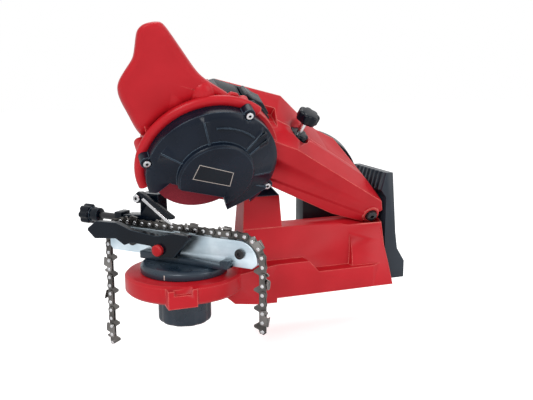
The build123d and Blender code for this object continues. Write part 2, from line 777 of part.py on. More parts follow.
guard_screw_ring = guard_radius + 1
guard_screws = [
    (guard_a + guard_screw_ring * cos(radians(turn)), guard_b + guard_screw_ring * sin(radians(turn)))
    for turn in (82, 187, -7)
]
guard_screw_radius = 2.0
shell_screws = ((-296, 108), (-262, 84), (-165, 58), (-90, 34))
shell_screw_radius = 1.8
shell_screw_near = -18.0
shell_head_far = -50.0  # heads lie in pockets of the far shell
switch_near = -22.0
switch_width = 26.0
switch_seat = ((-244, 92), (-226, 86), (-182, 74), (-160, 74), (-160, 110), (-244, 110))
with BuildPart() as whole_head:
    add(arm_front.part)
    add(arm_rear.part)
    add(handle_lobe.part)
    # round chamber behind the wheel
    with BuildSketch(arm_plane.offset(chamber_back)):
        with Locations((guard_a + 3, guard_b)):
            Circle(chamber_radius)
    extrude(amount=guard_back - chamber_back)
    # barrel of the motor
    with BuildSketch(arm_plane.offset(head_wall_far)):
        with Locations((wheel_a, wheel_b)):
            Circle(motor_radius + moving_gap + shell_wall)
    extrude(amount=chamber_back - head_wall_far)
    # raised ring round the pivot bolt
    with BuildSketch(arm_plane.offset(arm_near)):
        Circle(10)
    extrude(amount=1.5)
    # flat joint of the guard
    with BuildSketch(arm_plane.offset(guard_back)):
        with Locations((guard_a, guard_b)):
            Circle(guard_radius + 1)
        with Locations(*guard_screws):
            Circle(8)
    extrude(amount=30, mode=Mode.SUBTRACT)
    # bosses of the guard's screws
    with BuildSketch(arm_plane.offset(guard_back)):
        with Locations(*guard_screws):
            Circle(6)
    extrude(amount=-20)
    with BuildSketch(arm_plane.offset(guard_back)):
        with Locations(*guard_screws):
            Circle(guard_screw_radius)
    extrude(amount=-12, mode=Mode.SUBTRACT)
    # the chamber is open below
    with BuildSketch(arm_plane.offset(chamber_back - 1)):
        with Locations((wheel_a, -15 - 40)):
            Rectangle(200, 80)
    extrude(amount=guard_back - chamber_back + 2, mode=Mode.SUBTRACT)
    # motor's room
    with BuildSketch(arm_plane.offset(motor_far - moving_gap)):
        with Locations((wheel_a, wheel_b)):
            Circle(motor_cavity)
    extrude(amount=chamber_back + 2 - motor_far, mode=Mode.SUBTRACT)
    # spindle's bore
    with BuildSketch(arm_plane.offset(chamber_back)):
        with Locations((wheel_a, wheel_b)):
            Circle(9 + moving_gap)
    extrude(amount=guard_back - chamber_back + 10, mode=Mode.SUBTRACT)
    # holes of the screws that join the shells
    with BuildSketch(arm_plane.offset(shell_screw_near)):
        with Locations(*shell_screws):
            Circle(shell_screw_radius)
    extrude(amount=arm_far - shell_screw_near - 5, mode=Mode.SUBTRACT)
    with BuildSketch(arm_plane.offset(shell_head_far + 3)):
        with Locations(*shell_screws):
            Circle(4.2)
    extrude(amount=-40, mode=Mode.SUBTRACT)
    # seat of the switch
    with BuildSketch(arm_plane.offset(switch_near)):
        with BuildLine():
            Polyline(*switch_seat, close=True)
        make_face()
    extrude(amount=-switch_width, mode=Mode.SUBTRACT)
    # pivot bore
    with BuildSketch(arm_plane.offset(cheek_far - 1)):
        Circle(pivot_radius + 2)
    extrude(amount=arm_near - cheek_far + 2, mode=Mode.SUBTRACT)
    with BuildSketch(arm_plane.offset(arm_near + 3)):
        Circle(7.5)
    extrude(amount=-5, mode=Mode.SUBTRACT)
    # pocket that lets the column in as the arm comes down
    with BuildSketch(arm_plane.offset(-58)):
        with Locations((-130, 8)):
            Rectangle(60, 48)
    extrude(amount=44, mode=Mode.SUBTRACT)
    # seat, bush and passage of the depth screw
    with BuildSketch(screw_plane(depth_a, depth_seat, depth_d)):
        Circle(13)
    extrude(amount=30, mode=Mode.SUBTRACT)
    with BuildSketch(screw_plane(depth_a, 20, depth_d)):
        Circle(depth_bush_radius)
    extrude(amount=50, mode=Mode.SUBTRACT)

with BuildPart() as head_shell_near:
    add(whole_head.part)
    split(bisect_by=arm_plane.offset(lobe_middle), keep=Keep.TOP)

with BuildPart() as head_shell_far:
    add(whole_head.part)
    split(bisect_by=arm_plane.offset(lobe_middle), keep=Keep.BOTTOM)

save(head_shell_near, "head_shell_near")
save(head_shell_far, "head_shell_far")

# ---- guard over the wheel
guard_axis = spindle_axis(guard_a, guard_b)
cover_step = 6.0        # depth of the straight wall in front of the wheel
mouth_top = 9.0         # lower edge of the guard's front
lug_height = 13.0
guard_ribs = (11, 52, 62, 123, 172)
with BuildPart() as wheel_guard:
    with BuildSketch(spindle_section(guard_a, guard_b)):
        with BuildLine():
            Polyline(
                (0, guard_front), (hub_radius - 2, guard_front), (hub_radius, guard_front - 2),
                (hub_radius, guard_front - 7), (guard_radius - 6, cover_step + 2),
                (guard_radius, cover_step - 2), (guard_radius, guard_back),
                (guard_radius - guard_wall, guard_back), (guard_radius - guard_wall, cover_step - 3),
                (guard_radius - 7, cover_step), (hub_radius - guard_wall, guard_front - 9),
                (hub_radius - guard_wall, guard_front - guard_wall), (0, guard_front - guard_wall), close=True,
            )
        make_face()
    revolve(axis=guard_axis)
    # radial ribs on the dish
    for turn in guard_ribs:
        rib_right = arm_x * cos(radians(turn)) + arm_y * sin(radians(turn))
        rib_plane = Plane(origin=arm_point(guard_a, guard_b), x_dir=rib_right, z_dir=rib_right.cross(head_near))
        with BuildSketch(rib_plane):
            with BuildLine():
                Polyline(
                    (hub_radius - 1, guard_front - 8), (hub_radius - 1, guard_front - 5), (hub_radius + 1, guard_front - 5),
                    (guard_radius - 5.5, cover_step + 2.6), (guard_radius - 5.5, cover_step + 1), close=True,
                )
            make_face()
        extrude(amount=0.8, both=True)
    # spark deflector, a beak at the lower right
    with BuildSketch(arm_plane.offset(guard_back)):
        with BuildLine():
            Polyline((-206, mouth_top), (-190, -12), (-173, 6), (-160, 24), (-190, 24), close=True)
        make_face()
    extrude(amount=20)
    # lugs of the screws
    with BuildSketch(arm_plane.offset(guard_back)):
        with Locations(*guard_screws):
            Circle(6)
    extrude(amount=lug_height)
    with BuildSketch(arm_plane.offset(guard_back + lug_height)):
        with Locations(*guard_screws):
            Circle(4.5)
    extrude(amount=20, mode=Mode.SUBTRACT)
    with BuildSketch(arm_plane.offset(guard_back)):
        with Locations(*guard_screws):
            Circle(guard_screw_radius + 0.2)
    extrude(amount=lug_height, mode=Mode.SUBTRACT)
    # inside stays free for the wheel
    with BuildSketch(arm_plane.offset(guard_back)):
        with Locations((guard_a, guard_b)):
            Circle(guard_radius - guard_wall)
    extrude(amount=cover_step - 3 - guard_back, mode=Mode.SUBTRACT)
    # mouth: front and wall end above the wheel's lower edge
    with BuildSketch(arm_plane.offset(guard_back - 1)):
        with BuildLine():
            Polyline(
                (-300, -14), (-278, -14), (-268, -6), (-262, mouth_top), (-206, mouth_top), (-190, -12),
                (-173, 6), (-150, -20), (-170, -60), (-300, -60), close=True,
            )
        make_face()
    extrude(amount=guard_front - guard_back + 2, mode=Mode.SUBTRACT)

with BuildPart() as guard_screw_set:
    with BuildSketch(arm_plane.offset(guard_back - 12)):
        with Locations(*guard_screws):
            Circle(guard_screw_radius)
    extrude(amount=12 + lug_height)
    with BuildSketch(arm_plane.offset(guard_back + lug_height)):
        with Locations(*guard_screws):
            Circle(4)
    extrude(amount=2.5)

# ---- spindle with flanges, wheel and nut
wheel_near = wheel_width / 2
with BuildPart() as grinding_wheel:
    with BuildSketch(arm_plane.offset(-wheel_near)):
        with Locations((wheel_a, wheel_b)):
            Circle(wheel_radius)
            Circle(wheel_bore / 2, mode=Mode.SUBTRACT)
    extrude(amount=wheel_width)

spindle_radius = 4.0
with BuildPart() as spindle:
    with BuildSketch(arm_plane.offset(chamber_back + 2)):
        with Locations((wheel_a, wheel_b)):
            Circle(spindle_radius)
    extrude(amount=wheel_near + flange_width + 7 - chamber_back - 2)

with BuildPart() as inner_flange:
    with BuildSketch(arm_plane.offset(-wheel_near - flange_width)):
        with Locations((wheel_a, wheel_b)):
            Circle(flange_radius)
    extrude(amount=flange_width)
    with BuildSketch(arm_plane.offset(-wheel_near)):
        with Locations((wheel_a, wheel_b)):
            Circle(wheel_bore / 2 - running_gap)
    extrude(amount=wheel_width - 0.5)
    with BuildSketch(arm_plane.offset(-wheel_near - flange_width)):
        with Locations((wheel_a, wheel_b)):
            Circle(spindle_radius)
    extrude(amount=flange_width + wheel_width, mode=Mode.SUBTRACT)

with BuildPart() as outer_flange:
    with BuildSketch(arm_plane.offset(wheel_near)):
        with Locations((wheel_a, wheel_b)):
            Circle(flange_radius)
            Circle(spindle_radius, mode=Mode.SUBTRACT)
    extrude(amount=flange_width)

with BuildPart() as spindle_nut:
    with BuildSketch(arm_plane.offset(wheel_near + flange_width)):
        with Locations((wheel_a, wheel_b)):
            RegularPolygon(7.5, 6)
            Circle(spindle_radius, mode=Mode.SUBTRACT)
    extrude(amount=5)

with BuildPart() as motor:
    with BuildSketch(arm_plane.offset(motor_far)):
        with Locations((wheel_a, wheel_b)):
            Circle(motor_radius)
    extrude(amount=chamber_back + 2 - motor_far - moving_gap)
    with BuildSketch(arm_plane.offset(chamber_back + 2 - moving_gap)):
        with Locations((wheel_a, wheel_b)):
            Circle(9)
            Circle(spindle_radius + running_gap, mode=Mode.SUBTRACT)
    extrude(amount=8)

# two ball bearings carry the spindle in the head
race_width = 7.0
with BuildPart() as spindle_bearings:
    for near_face in (-11.0, -19.0):
        with BuildSketch(arm_plane.offset(near_face)):
            with Locations((wheel_a, wheel_b)):
                Circle(9 + moving_gap - running_gap)
                Circle(spindle_radius + running_gap, mode=Mode.SUBTRACT)
        extrude(amount=-race_width)

with BuildPart() as shell_screw_set:
    with BuildSketch(arm_plane.offset(shell_screw_near)):
        with Locations(*shell_screws):
            Circle(shell_screw_radius)
    extrude(amount=shell_head_far - shell_screw_near)
    with BuildSketch(arm_plane.offset(shell_head_far)):
        with Locations(*shell_screws):
            Circle(3.6)
    extrude(amount=3)

# ---- rocker switch on top of the head
switch_gap = 0.15
with BuildPart() as switch_surround:
    with BuildSketch(arm_plane.offset(switch_near - switch_gap)):
        with BuildLine():
            Polyline(
                (-243.5, 92.5), (-226, 86.5), (-182, 74.5), (-176, 84), (-187, 92),
                (-200, 99), (-216, 101), (-238, 103), (-243.5, 99), close=True,
            )
        make_face()
    extrude(amount=2 * switch_gap - switch_width)
    with BuildSketch(arm_plane.offset(switch_near - 4)):
        with BuildLine():
            Polyline((-213, 110), (-213, 92), (-188, 80), (-170, 76), (-170, 110), close=True)
        make_face()
    extrude(amount=8 - switch_width, mode=Mode.SUBTRACT)

with BuildPart() as switch_rocker:
    with BuildSketch(arm_plane.offset(switch_near - 4 - moving_gap)):
        with BuildLine():
            Polyline((-212, 101), (-211, 93.5), (-188, 83), (-179, 80), (-177, 87), (-188, 96), (-200, 99.5), (-208, 104), close=True)
        make_face()
    extrude(amount=8 + 2 * moving_gap - switch_width)

# ---- depth stop: screw with a knob, locked by a second knob
with BuildPart() as depth_screw:
    with BuildSketch(screw_plane(depth_a, depth_tip, depth_d)):
        Circle(depth_screw_radius)
    extrude(amount=84 - depth_tip)

with BuildPart() as depth_knob:
    with BuildSketch(screw_plane(depth_a, 82, depth_d)):
        Circle(12)
        with PolarLocations(12.5, 6):
            RegularPolygon(2.5, 6, mode=Mode.SUBTRACT)
    extrude(amount=13)
    with BuildSketch(screw_plane(depth_a, 82, depth_d)):
        Circle(depth_screw_radius + running_gap)
    extrude(amount=2 + running_gap, mode=Mode.SUBTRACT)

with BuildPart() as depth_lock:
    with BuildSketch(screw_plane(depth_a, depth_seat + moving_gap, depth_d)):
        Circle(11)
        with PolarLocations(12.5, 6):
            RegularPolygon(2.5, 6, mode=Mode.SUBTRACT)
        Circle(depth_screw_radius + running_gap, mode=Mode.SUBTRACT)
    extrude(amount=9)

with BuildPart() as depth_bush:
    with BuildSketch(screw_plane(depth_a, depth_bush_end, depth_d)):
        Circle(depth_bush_radius)
        Circle(depth_screw_radius + running_gap, mode=Mode.SUBTRACT)
    extrude(amount=depth_seat - depth_bush_end)

# ---- pivot bolt with its sleeve
with BuildPart() as pivot_bolt:
    with BuildSketch(arm_plane.offset(boss_far - 7)):
        Circle(pivot_radius)
    extrude(amount=arm_near + 6 - boss_far)
    with BuildSketch(arm_plane.offset(arm_near - 1)):
        Circle(6.8)
    extrude(amount=6)
    with BuildSketch(arm_plane.offset(arm_near + 5)):
        RegularPolygon(3, 6)
    extrude(amount=-3, mode=Mode.SUBTRACT)

with BuildPart() as pivot_nut:
    with BuildSketch(arm_plane.offset(boss_far)):
        RegularPolygon(8.5, 6)
        Circle(pivot_radius, mode=Mode.SUBTRACT)
    extrude(amount=-6)

with BuildPart() as pivot_bush:
    with BuildSketch(arm_plane.offset(cheek_far)):
        Circle(pivot_radius + 2)
        Circle(pivot_radius + running_gap, mode=Mode.SUBTRACT)
    extrude(amount=arm_near - 2 - cheek_far)

# return spring of the arm, wound round the pivot in the tower's boss
spring_plane = arm_plane.offset(cheek_far - 2 * moving_gap - spring_length + spring_wire / 2)
spring_coil = spring_plane * Helix(spring_length / 4, spring_length - spring_wire, spring_radius)
with BuildPart() as arm_spring:
    with BuildSketch(Plane(origin=spring_coil @ 0, x_dir=head_near, z_dir=spring_coil % 0)):
        Rectangle(spring_wire, spring_wire)
    sweep(path=spring_coil, is_frenet=True)

# black duct of the motor's leads along the arm's far edge
with BuildPart() as cable_duct:
    with BuildSketch(arm_plane.offset(arm_far - 12)):
        with BuildLine():
            Line((-80, 54), (-2, 16))
            ThreePointArc((-2, 16), (-38, 45), (-80, 54))
        make_face()
    extrude(amount=12)

# ======== battery holder ========
holder_left = body_right + moving_gap
rail_bottom = 48.0
rail_length = 66.0
grip_ribs = 8
holder_middle = (holder_near + holder_far) / 2
with BuildPart() as battery_holder:
    with BuildSketch(Plane.XZ.offset(-holder_near)):
        with BuildLine():
            Polyline(
                (84, holder_height), (holder_right, holder_height), (98, 56), (101, 36), (111, 20), (111, 0),
                (holder_left, 0), (holder_left, 98), (78, 107), close=True,
            )
        make_face()
    extrude(amount=holder_near - holder_far)
    # grip ribs on the slanted upper side
    for rib in range(grip_ribs):
        with BuildSketch(Plane.XZ.offset(-holder_near - 5 - rib * 9)):
            with BuildLine():
                Polyline((84, holder_height), (82.5, holder_height), (76.5, 107), (78, 107), close=True)
            make_face()
        extrude(amount=-2)
    # room for the pivot boss
    with BuildSketch(arm_plane.offset(cheek_far)):
        Circle(boss_radius + moving_gap)
    extrude(amount=boss_far - cheek_far - 8, mode=Mode.SUBTRACT)
    # flat seat of the battery, upright
    with BuildSketch(Plane.XY.offset(rail_bottom - 4)):
        with Locations((110, holder_middle)):
            Rectangle(2 * (110 - holder_right), 66)
    extrude(amount=100, mode=Mode.SUBTRACT)
    # two hooked slide rails
    with BuildSketch(Plane.XY.offset(rail_bottom)):
        for side in (-1, 1):
            with Locations((holder_right + 2.5, holder_middle + side * 22)):
                Rectangle(5, 4)
            with Locations((holder_right + 6.5, holder_middle + side * 24)):
                Rectangle(3, 8)
    extrude(amount=rail_length)

with BuildPart() as terminal_block:
    with BuildSketch(Plane.XY.offset(rail_bottom)):
        with Locations((holder_right + 4, holder_middle)):
            Rectangle(8, 30)
    extrude(amount=24)
    with BuildSketch(Plane.XY.offset(rail_bottom + 24)):
        with Locations((holder_right + 4, holder_middle)):
            with GridLocations(0, 7, 1, 4):
                Rectangle(4, 1)
    extrude(amount=-4, mode=Mode.SUBTRACT)

with BuildPart() as terminal_blades:
    with BuildSketch(Plane.XY.offset(rail_bottom + 20)):
        with Locations((holder_right + 4, holder_middle)):
            with GridLocations(0, 7, 1, 4):
                Rectangle(4, 1)
    extrude(amount=18)

electronics_right = holder_left - moving_gap
electronics_width = electronics_right - electronics_left
electronics_height = electronics_top - ledge_right
electronics_centre = ((electronics_left + electronics_right) / 2, (electronics_top + ledge_right) / 2)
cover_plane = Plane(origin=(electronics_centre[0], body_far, electronics_centre[1]), x_dir=(1, 0, 0), z_dir=(0, -1, 0))
cover_screw_radius = 1.5
with BuildPart() as electronics_housing:
    with BuildSketch(cover_plane):
        Rectangle(electronics_width, electronics_height)
    extrude(amount=electronics_depth)
    # hollow, open to the back, with a boss in each corner for the cover's screws
    with BuildSketch(cover_plane):
        Rectangle(electronics_width - 2 * shell_wall, electronics_height - 2 * shell_wall)
        with GridLocations(boss_spacing_x, boss_spacing_z, 2, 2):
            Rectangle(9, 9, mode=Mode.SUBTRACT)
    extrude(amount=electronics_depth - shell_wall, mode=Mode.SUBTRACT)
    with BuildSketch(cover_plane):
        with GridLocations(boss_spacing_x, boss_spacing_z, 2, 2):
            Circle(cover_screw_radius)
    extrude(amount=12, mode=Mode.SUBTRACT)

# circuit board of the drive, on the housing's front wall
board_plane = cover_plane.offset(electronics_depth - shell_wall)
with BuildPart() as drive_board:
    with BuildSketch(board_plane):
        Rectangle(electronics_width - 2 * shell_wall - 6, electronics_height - 20)
    extrude(amount=-1.6)
    with BuildSketch(board_plane.offset(-1.6)):
        with Locations((-20, 4), (2, 8)):
            Rectangle(12, 20)
        with Locations((22, -6)):
            Rectangle(10, 26)
    extrude(amount=-9)

with BuildPart() as electronics_cover:
    with BuildSketch(cover_plane):
        Rectangle(electronics_width, electronics_height)
        with GridLocations(boss_spacing_x, boss_spacing_z, 2, 2):
            Circle(cover_screw_radius + running_gap, mode=Mode.SUBTRACT)
    extrude(amount=-cover_thickness)

with BuildPart() as cover_screw_set:
    with BuildSketch(cover_plane.offset(12)):
        with GridLocations(boss_spacing_x, boss_spacing_z, 2, 2):
            Circle(cover_screw_radius)
    extrude(amount=-12 - cover_thickness)
    with BuildSketch(cover_plane.offset(-cover_thickness)):
        with GridLocations(boss_spacing_x, boss_spacing_z, 2, 2):
            Circle(3)
    extrude(amount=-1.6)

save(electronics_cover, "electronics_cover")
save(cover_screw_set, "cover_screws")
save(drive_board, "drive_board")
save(spindle_bearings, "spindle_bearings")
save(shell_screw_set, "shell_screws")
save(switch_surround, "switch_surround")
save(switch_rocker, "switch_rocker")
save(wheel_guard, "wheel_guard")
save(guard_screw_set, "guard_screws")
save(grinding_wheel, "grinding_wheel")
save(spindle, "spindle")
save(inner_flange, "inner_flange")
save(outer_flange, "outer_flange")
save(spindle_nut, "spindle_nut")
save(motor, "motor")
save(depth_screw, "depth_screw")
save(depth_knob, "depth_knob")
save(depth_lock, "depth_lock")
save(depth_bush, "depth_bush")
save(arm_spring, "arm_spring")
save(pivot_bolt, "pivot_bolt")
save(pivot_bush, "pivot_bush")
save(cable_duct, "cable_duct")
save(battery_holder, "battery_holder")
save(terminal_block, "terminal_block")
save(terminal_blades, "terminal_blades")
save(electronics_housing, "electronics_housing")
save(pivot_nut, "pivot_nut")
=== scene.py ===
import json
from math import atan2, cos, radians, sin

import bmesh
import bpy
from mathutils import Matrix, Vector


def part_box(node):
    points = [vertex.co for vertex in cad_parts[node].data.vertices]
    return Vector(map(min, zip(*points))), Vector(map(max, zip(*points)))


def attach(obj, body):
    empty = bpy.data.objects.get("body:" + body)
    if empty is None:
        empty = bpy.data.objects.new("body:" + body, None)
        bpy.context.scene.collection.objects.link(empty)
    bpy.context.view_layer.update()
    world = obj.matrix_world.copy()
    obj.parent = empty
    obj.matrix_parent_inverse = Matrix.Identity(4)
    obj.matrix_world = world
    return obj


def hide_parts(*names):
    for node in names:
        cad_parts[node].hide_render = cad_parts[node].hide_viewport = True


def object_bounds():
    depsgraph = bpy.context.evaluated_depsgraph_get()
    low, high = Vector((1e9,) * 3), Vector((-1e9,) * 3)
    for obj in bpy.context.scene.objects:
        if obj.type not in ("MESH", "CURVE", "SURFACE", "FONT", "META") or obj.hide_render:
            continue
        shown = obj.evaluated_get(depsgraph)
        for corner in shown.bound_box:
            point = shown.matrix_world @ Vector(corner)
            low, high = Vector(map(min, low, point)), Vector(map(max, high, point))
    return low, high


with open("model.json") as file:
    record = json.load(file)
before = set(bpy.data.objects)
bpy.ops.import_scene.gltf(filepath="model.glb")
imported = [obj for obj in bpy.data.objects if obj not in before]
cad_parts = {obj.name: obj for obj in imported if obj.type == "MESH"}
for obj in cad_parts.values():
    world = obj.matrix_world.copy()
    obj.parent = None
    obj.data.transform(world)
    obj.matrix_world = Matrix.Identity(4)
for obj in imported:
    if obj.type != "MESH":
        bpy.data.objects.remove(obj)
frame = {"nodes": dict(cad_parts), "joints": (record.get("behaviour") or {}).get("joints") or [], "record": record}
cad_low, cad_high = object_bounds()
nodes = frame["nodes"]
joints = {joint["name"]: joint for joint in frame["joints"]}
bodies = frame["record"]["behaviour"]["bodies"]
mm = 0.001


# ======== camera, floor and studio ========
# The camera stands in front of the turning vice and looks a little down on it. The floor is
# plain and pale, below the hanging ends of the saw chain, and the studio is lit softly.
camera_data = bpy.data.cameras.new("camera")
camera_data.sensor_width = 36.0
camera_data.lens = 48.63
camera = bpy.data.objects.new("camera", camera_data)
camera.location = (-0.3392, -0.7366, 0.2545)
camera.rotation_euler = (radians(79), 0.0, radians(-21))
bpy.context.scene.collection.objects.link(camera)
bpy.context.scene.camera = camera
bpy.context.scene.view_settings.view_transform = "Standard"

floor_half = 4.0            # metres
floor_gap = 2 * mm          # below the lowest end of the chain
floor_mesh = bmesh.new()
bmesh.ops.create_grid(floor_mesh, x_segments=1, y_segments=1, size=floor_half)
bmesh.ops.translate(floor_mesh, verts=floor_mesh.verts, vec=(0, 0, cad_low.z - floor_gap))
floor_data = bpy.data.meshes.new("floor")
floor_mesh.to_mesh(floor_data)
floor_mesh.free()
floor = bpy.data.objects.new("floor", floor_data)
bpy.context.scene.collection.objects.link(floor)

floor_glow = 0.55           # seen by the camera only
pale = bpy.data.materials.new("pale_floor")
pale.use_nodes = True
pale_shader = pale.node_tree.nodes["Principled BSDF"]
pale_shader.inputs["Base Color"].default_value = (0.88, 0.88, 0.88, 1)
pale_shader.inputs["Roughness"].default_value = 0.9
pale_shader.inputs["Specular IOR Level"].default_value = 0.1
pale_path = pale.node_tree.nodes.new("ShaderNodeLightPath")
pale_shader.inputs["Emission Color"].default_value = (1, 1, 1, 1)
pale_gain = pale.node_tree.nodes.new("ShaderNodeMath")
pale_gain.operation = "MULTIPLY"
pale_gain.inputs[1].default_value = floor_glow
pale.node_tree.links.new(pale_path.outputs["Is Camera Ray"], pale_gain.inputs[0])
pale.node_tree.links.new(pale_gain.outputs[0], pale_shader.inputs["Emission Strength"])
floor.data.materials.append(pale)

# The sky is white where it is seen or mirrored, and dimmer as a light.
sky_light = 0.55
sky_white = 1.0
world = bpy.data.worlds.new("studio")
bpy.context.scene.world = world
world.use_nodes = True
sky_nodes = world.node_tree.nodes
sky_links = world.node_tree.links
sky = sky_nodes["Background"]
sky.inputs["Color"].default_value = (1, 1, 1, 1)
sky_path = sky_nodes.new("ShaderNodeLightPath")
seen = sky_path.outputs["Is Camera Ray"]
for ray in ("Is Transmission Ray", "Is Glossy Ray"):
    either = sky_nodes.new("ShaderNodeMath")
    either.operation = "MAXIMUM"
    sky_links.new(seen, either.inputs[0])
    sky_links.new(sky_path.outputs[ray], either.inputs[1])
    seen = either.outputs[0]
sky_strength = sky_nodes.new("ShaderNodeMapRange")
sky_strength.inputs["To Min"].default_value = sky_light
sky_strength.inputs["To Max"].default_value = sky_white
sky_links.new(seen, sky_strength.inputs["Value"])
sky_links.new(sky_strength.outputs[0], sky.inputs["Strength"])

for name, place, aim, size, power in (
    ("key", (-0.9, -1.1, 1.0), (-0.1, 0, 0.08), 0.7, 13.0),
    ("fill", (0.9, -1.0, 0.5), (0, 0, 0.08), 0.8, 5.0),
    ("top", (0.1, 0.3, 1.3), (0, 0, 0.08), 0.8, 7.0),
):
    lamp_data = bpy.data.lights.new(name, "AREA")
    lamp_data.size = size
    lamp_data.energy = power
    lamp = bpy.data.objects.new(name, lamp_data)
    lamp.location = place
    lamp.rotation_euler = (Vector(aim) - Vector(place)).to_track_quat("-Z", "Y").to_euler()
    bpy.context.scene.collection.objects.link(lamp)


# ======== base casting ========
# One thick red moulding: the round front carries the vice, the neck drops to a lip over the
# bench edge, and the pedestal carries the arm's pivot. It is bolted up from below the bench.
def blank_material(name, roughness, metallic=0.0, specular=0.5):
    """A material with its shader, its tree and the object's own coordinates."""
    material = bpy.data.materials.new(name)
    material.use_nodes = True
    tree = material.node_tree
    shader = tree.nodes["Principled BSDF"]
    shader.inputs["Roughness"].default_value = roughness
    shader.inputs["Metallic"].default_value = metallic
    shader.inputs["Specular IOR Level"].default_value = specular
    coordinates = tree.nodes.new("ShaderNodeTexCoord").outputs["Object"]
    return material, tree, shader, coordinates


def noise(tree, coordinates, scale, detail=3.0, stretch=None):
    """Noise at a scale per metre, stretched along an axis when asked."""
    if stretch:
        mapping = tree.nodes.new("ShaderNodeMapping")
        mapping.inputs["Scale"].default_value = stretch
        tree.links.new(coordinates, mapping.inputs["Vector"])
        coordinates = mapping.outputs["Vector"]
    texture = tree.nodes.new("ShaderNodeTexNoise")
    texture.inputs["Scale"].default_value = scale
    texture.inputs["Detail"].default_value = detail
    tree.links.new(coordinates, texture.inputs["Vector"])
    return texture.outputs["Fac"]


def spread(tree, value, low, high, start=0.3, end=0.7):
    """A value between start and end spread between two limits."""
    ranged = tree.nodes.new("ShaderNodeMapRange")
    ranged.inputs["From Min"].default_value = start
    ranged.inputs["From Max"].default_value = end
    ranged.inputs["To Min"].default_value = low
    ranged.inputs["To Max"].default_value = high
    tree.links.new(value, ranged.inputs["Value"])
    return ranged.outputs["Result"]


def blend(tree, value, first, second):
    """Something between two colours, or sockets, chosen by a value from 0 to 1."""
    mix = tree.nodes.new("ShaderNodeMix")
    mix.data_type = "RGBA"
    for place, colour in ((6, first), (7, second)):
        if isinstance(colour, tuple):
            mix.inputs[place].default_value = (*colour, 1)
        else:
            tree.links.new(colour, mix.inputs[place])
    tree.links.new(value, mix.inputs["Factor"])
    return mix.outputs[2]


def rounded_normal(tree, radius):
    """The surface's direction with its edges rounded."""
    bevel = tree.nodes.new("ShaderNodeBevel")
    bevel.samples = 6
    bevel.inputs["Radius"].default_value = radius
    return bevel.outputs["Normal"]


def edge_highlight_mask(tree, rounded):
    """1 along sharp edges and 0 on the flats: where the paler colour is painted as a highlight."""
    geometry = tree.nodes.new("ShaderNodeNewGeometry")
    dot = tree.nodes.new("ShaderNodeVectorMath")
    dot.operation = "DOT_PRODUCT"
    tree.links.new(rounded, dot.inputs[0])
    tree.links.new(geometry.outputs["Normal"], dot.inputs[1])
    return spread(tree, dot.outputs["Value"], low=1.0, high=0.0, start=0.9, end=0.995)


def grain(tree, shader, height, depth, normal=None, distance=0.2 * mm):
    """Fine relief on the surface."""
    bump = tree.nodes.new("ShaderNodeBump")
    bump.inputs["Strength"].default_value = depth
    bump.inputs["Distance"].default_value = distance
    tree.links.new(height, bump.inputs["Height"])
    if normal:
        tree.links.new(normal, bump.inputs["Normal"])
    tree.links.new(bump.outputs["Normal"], shader.inputs["Normal"])


def moulded_plastic(name, dark, light, edge_highlight, roughness, specular, edge=0.8 * mm, highlight_strength=0.75):
    """Moulded plastic: faint mottling, a fine grain and edges painted paler as highlights."""
    material, tree, shader, coordinates = blank_material(name, roughness, specular=specular)
    mottling = spread(tree, noise(tree, coordinates, scale=22.0), 0, 1)
    tone = blend(tree, mottling, dark, light)
    rounded = rounded_normal(tree, edge)
    highlight_patches = spread(tree, noise(tree, coordinates, scale=90.0), 0.4 * highlight_strength, highlight_strength)
    highlight_share = tree.nodes.new("ShaderNodeMath")
    highlight_share.operation = "MULTIPLY"
    tree.links.new(edge_highlight_mask(tree, rounded), highlight_share.inputs[0])
    tree.links.new(highlight_patches, highlight_share.inputs[1])
    # The edges take a paler colour in random patches: a painted highlight along every sharp edge.
    tree.links.new(blend(tree, highlight_share.outputs[0], tone, edge_highlight), shader.inputs["Base Color"])
    smudges = noise(tree, coordinates, scale=35.0, detail=5.0)
    tree.links.new(
        spread(tree, smudges, roughness - 0.06, roughness + 0.08), shader.inputs["Roughness"],
    )
    specks = noise(tree, coordinates, scale=1600.0, detail=2.0)
    grain(tree, shader, specks, depth=0.12, normal=rounded, distance=0.12 * mm)
    return material


def as_object(bm, name, material, place=None, smooth=35):
    """A finished mesh as an object at the origin, smooth up to an angle in degrees."""
    if place:
        bmesh.ops.transform(bm, matrix=place, verts=bm.verts)
    bmesh.ops.recalc_face_normals(bm, faces=bm.faces)
    mesh = bpy.data.meshes.new(name)
    bm.to_mesh(mesh)
    bm.free()
    mesh.shade_smooth()
    mesh.set_sharp_from_angle(angle=radians(smooth))
    mesh.materials.append(material)
    piece = bpy.data.objects.new(name, mesh)
    bpy.context.scene.collection.objects.link(piece)
    return piece


def merged(node):
    """A node's own mesh with its facets' corners joined."""
    bm = bmesh.new()
    bm.from_mesh(nodes[node].data)
    bmesh.ops.remove_doubles(bm, verts=bm.verts, dist=0.002 * mm)
    return bm


def softened(node, width, segments=2):
    """A copy of a construction solid with its long edges rounded."""
    flat = radians(1.5)         # facets that meet flatter than this are one face
    corner = radians(28)        # edges sharper than this are rounded
    shortest = 2.2 * width
    bm = merged(node)
    bmesh.ops.dissolve_limit(bm, angle_limit=flat, verts=bm.verts, edges=bm.edges)
    bmesh.ops.dissolve_degenerate(bm, edges=bm.edges, dist=0.02 * mm)
    tight = {vert for edge in bm.edges if edge.calc_length() < shortest for vert in edge.verts}
    rounded = [
        edge for edge in bm.edges
        if len(edge.link_faces) == 2
        and edge.calc_face_angle() > corner
        and not tight.intersection(edge.verts)
    ]
    bmesh.ops.bevel(
        bm, geom=rounded, offset=width, offset_type="OFFSET", segments=segments, profile=0.5,
        affect="EDGES", clamp_overlap=True, material=-1,
    )
    return bm


def stands_for(piece, node):
    """A piece that stands for a construction node rides on its body, and the node is hidden."""
    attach(piece, next(body for body, members in bodies.items() if node in members))
    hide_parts(node)
    return piece


def softened_piece(node, name, material, width):
    """A node's own shape with its long edges rounded."""
    return stands_for(as_object(softened(node, width), name, material), node)
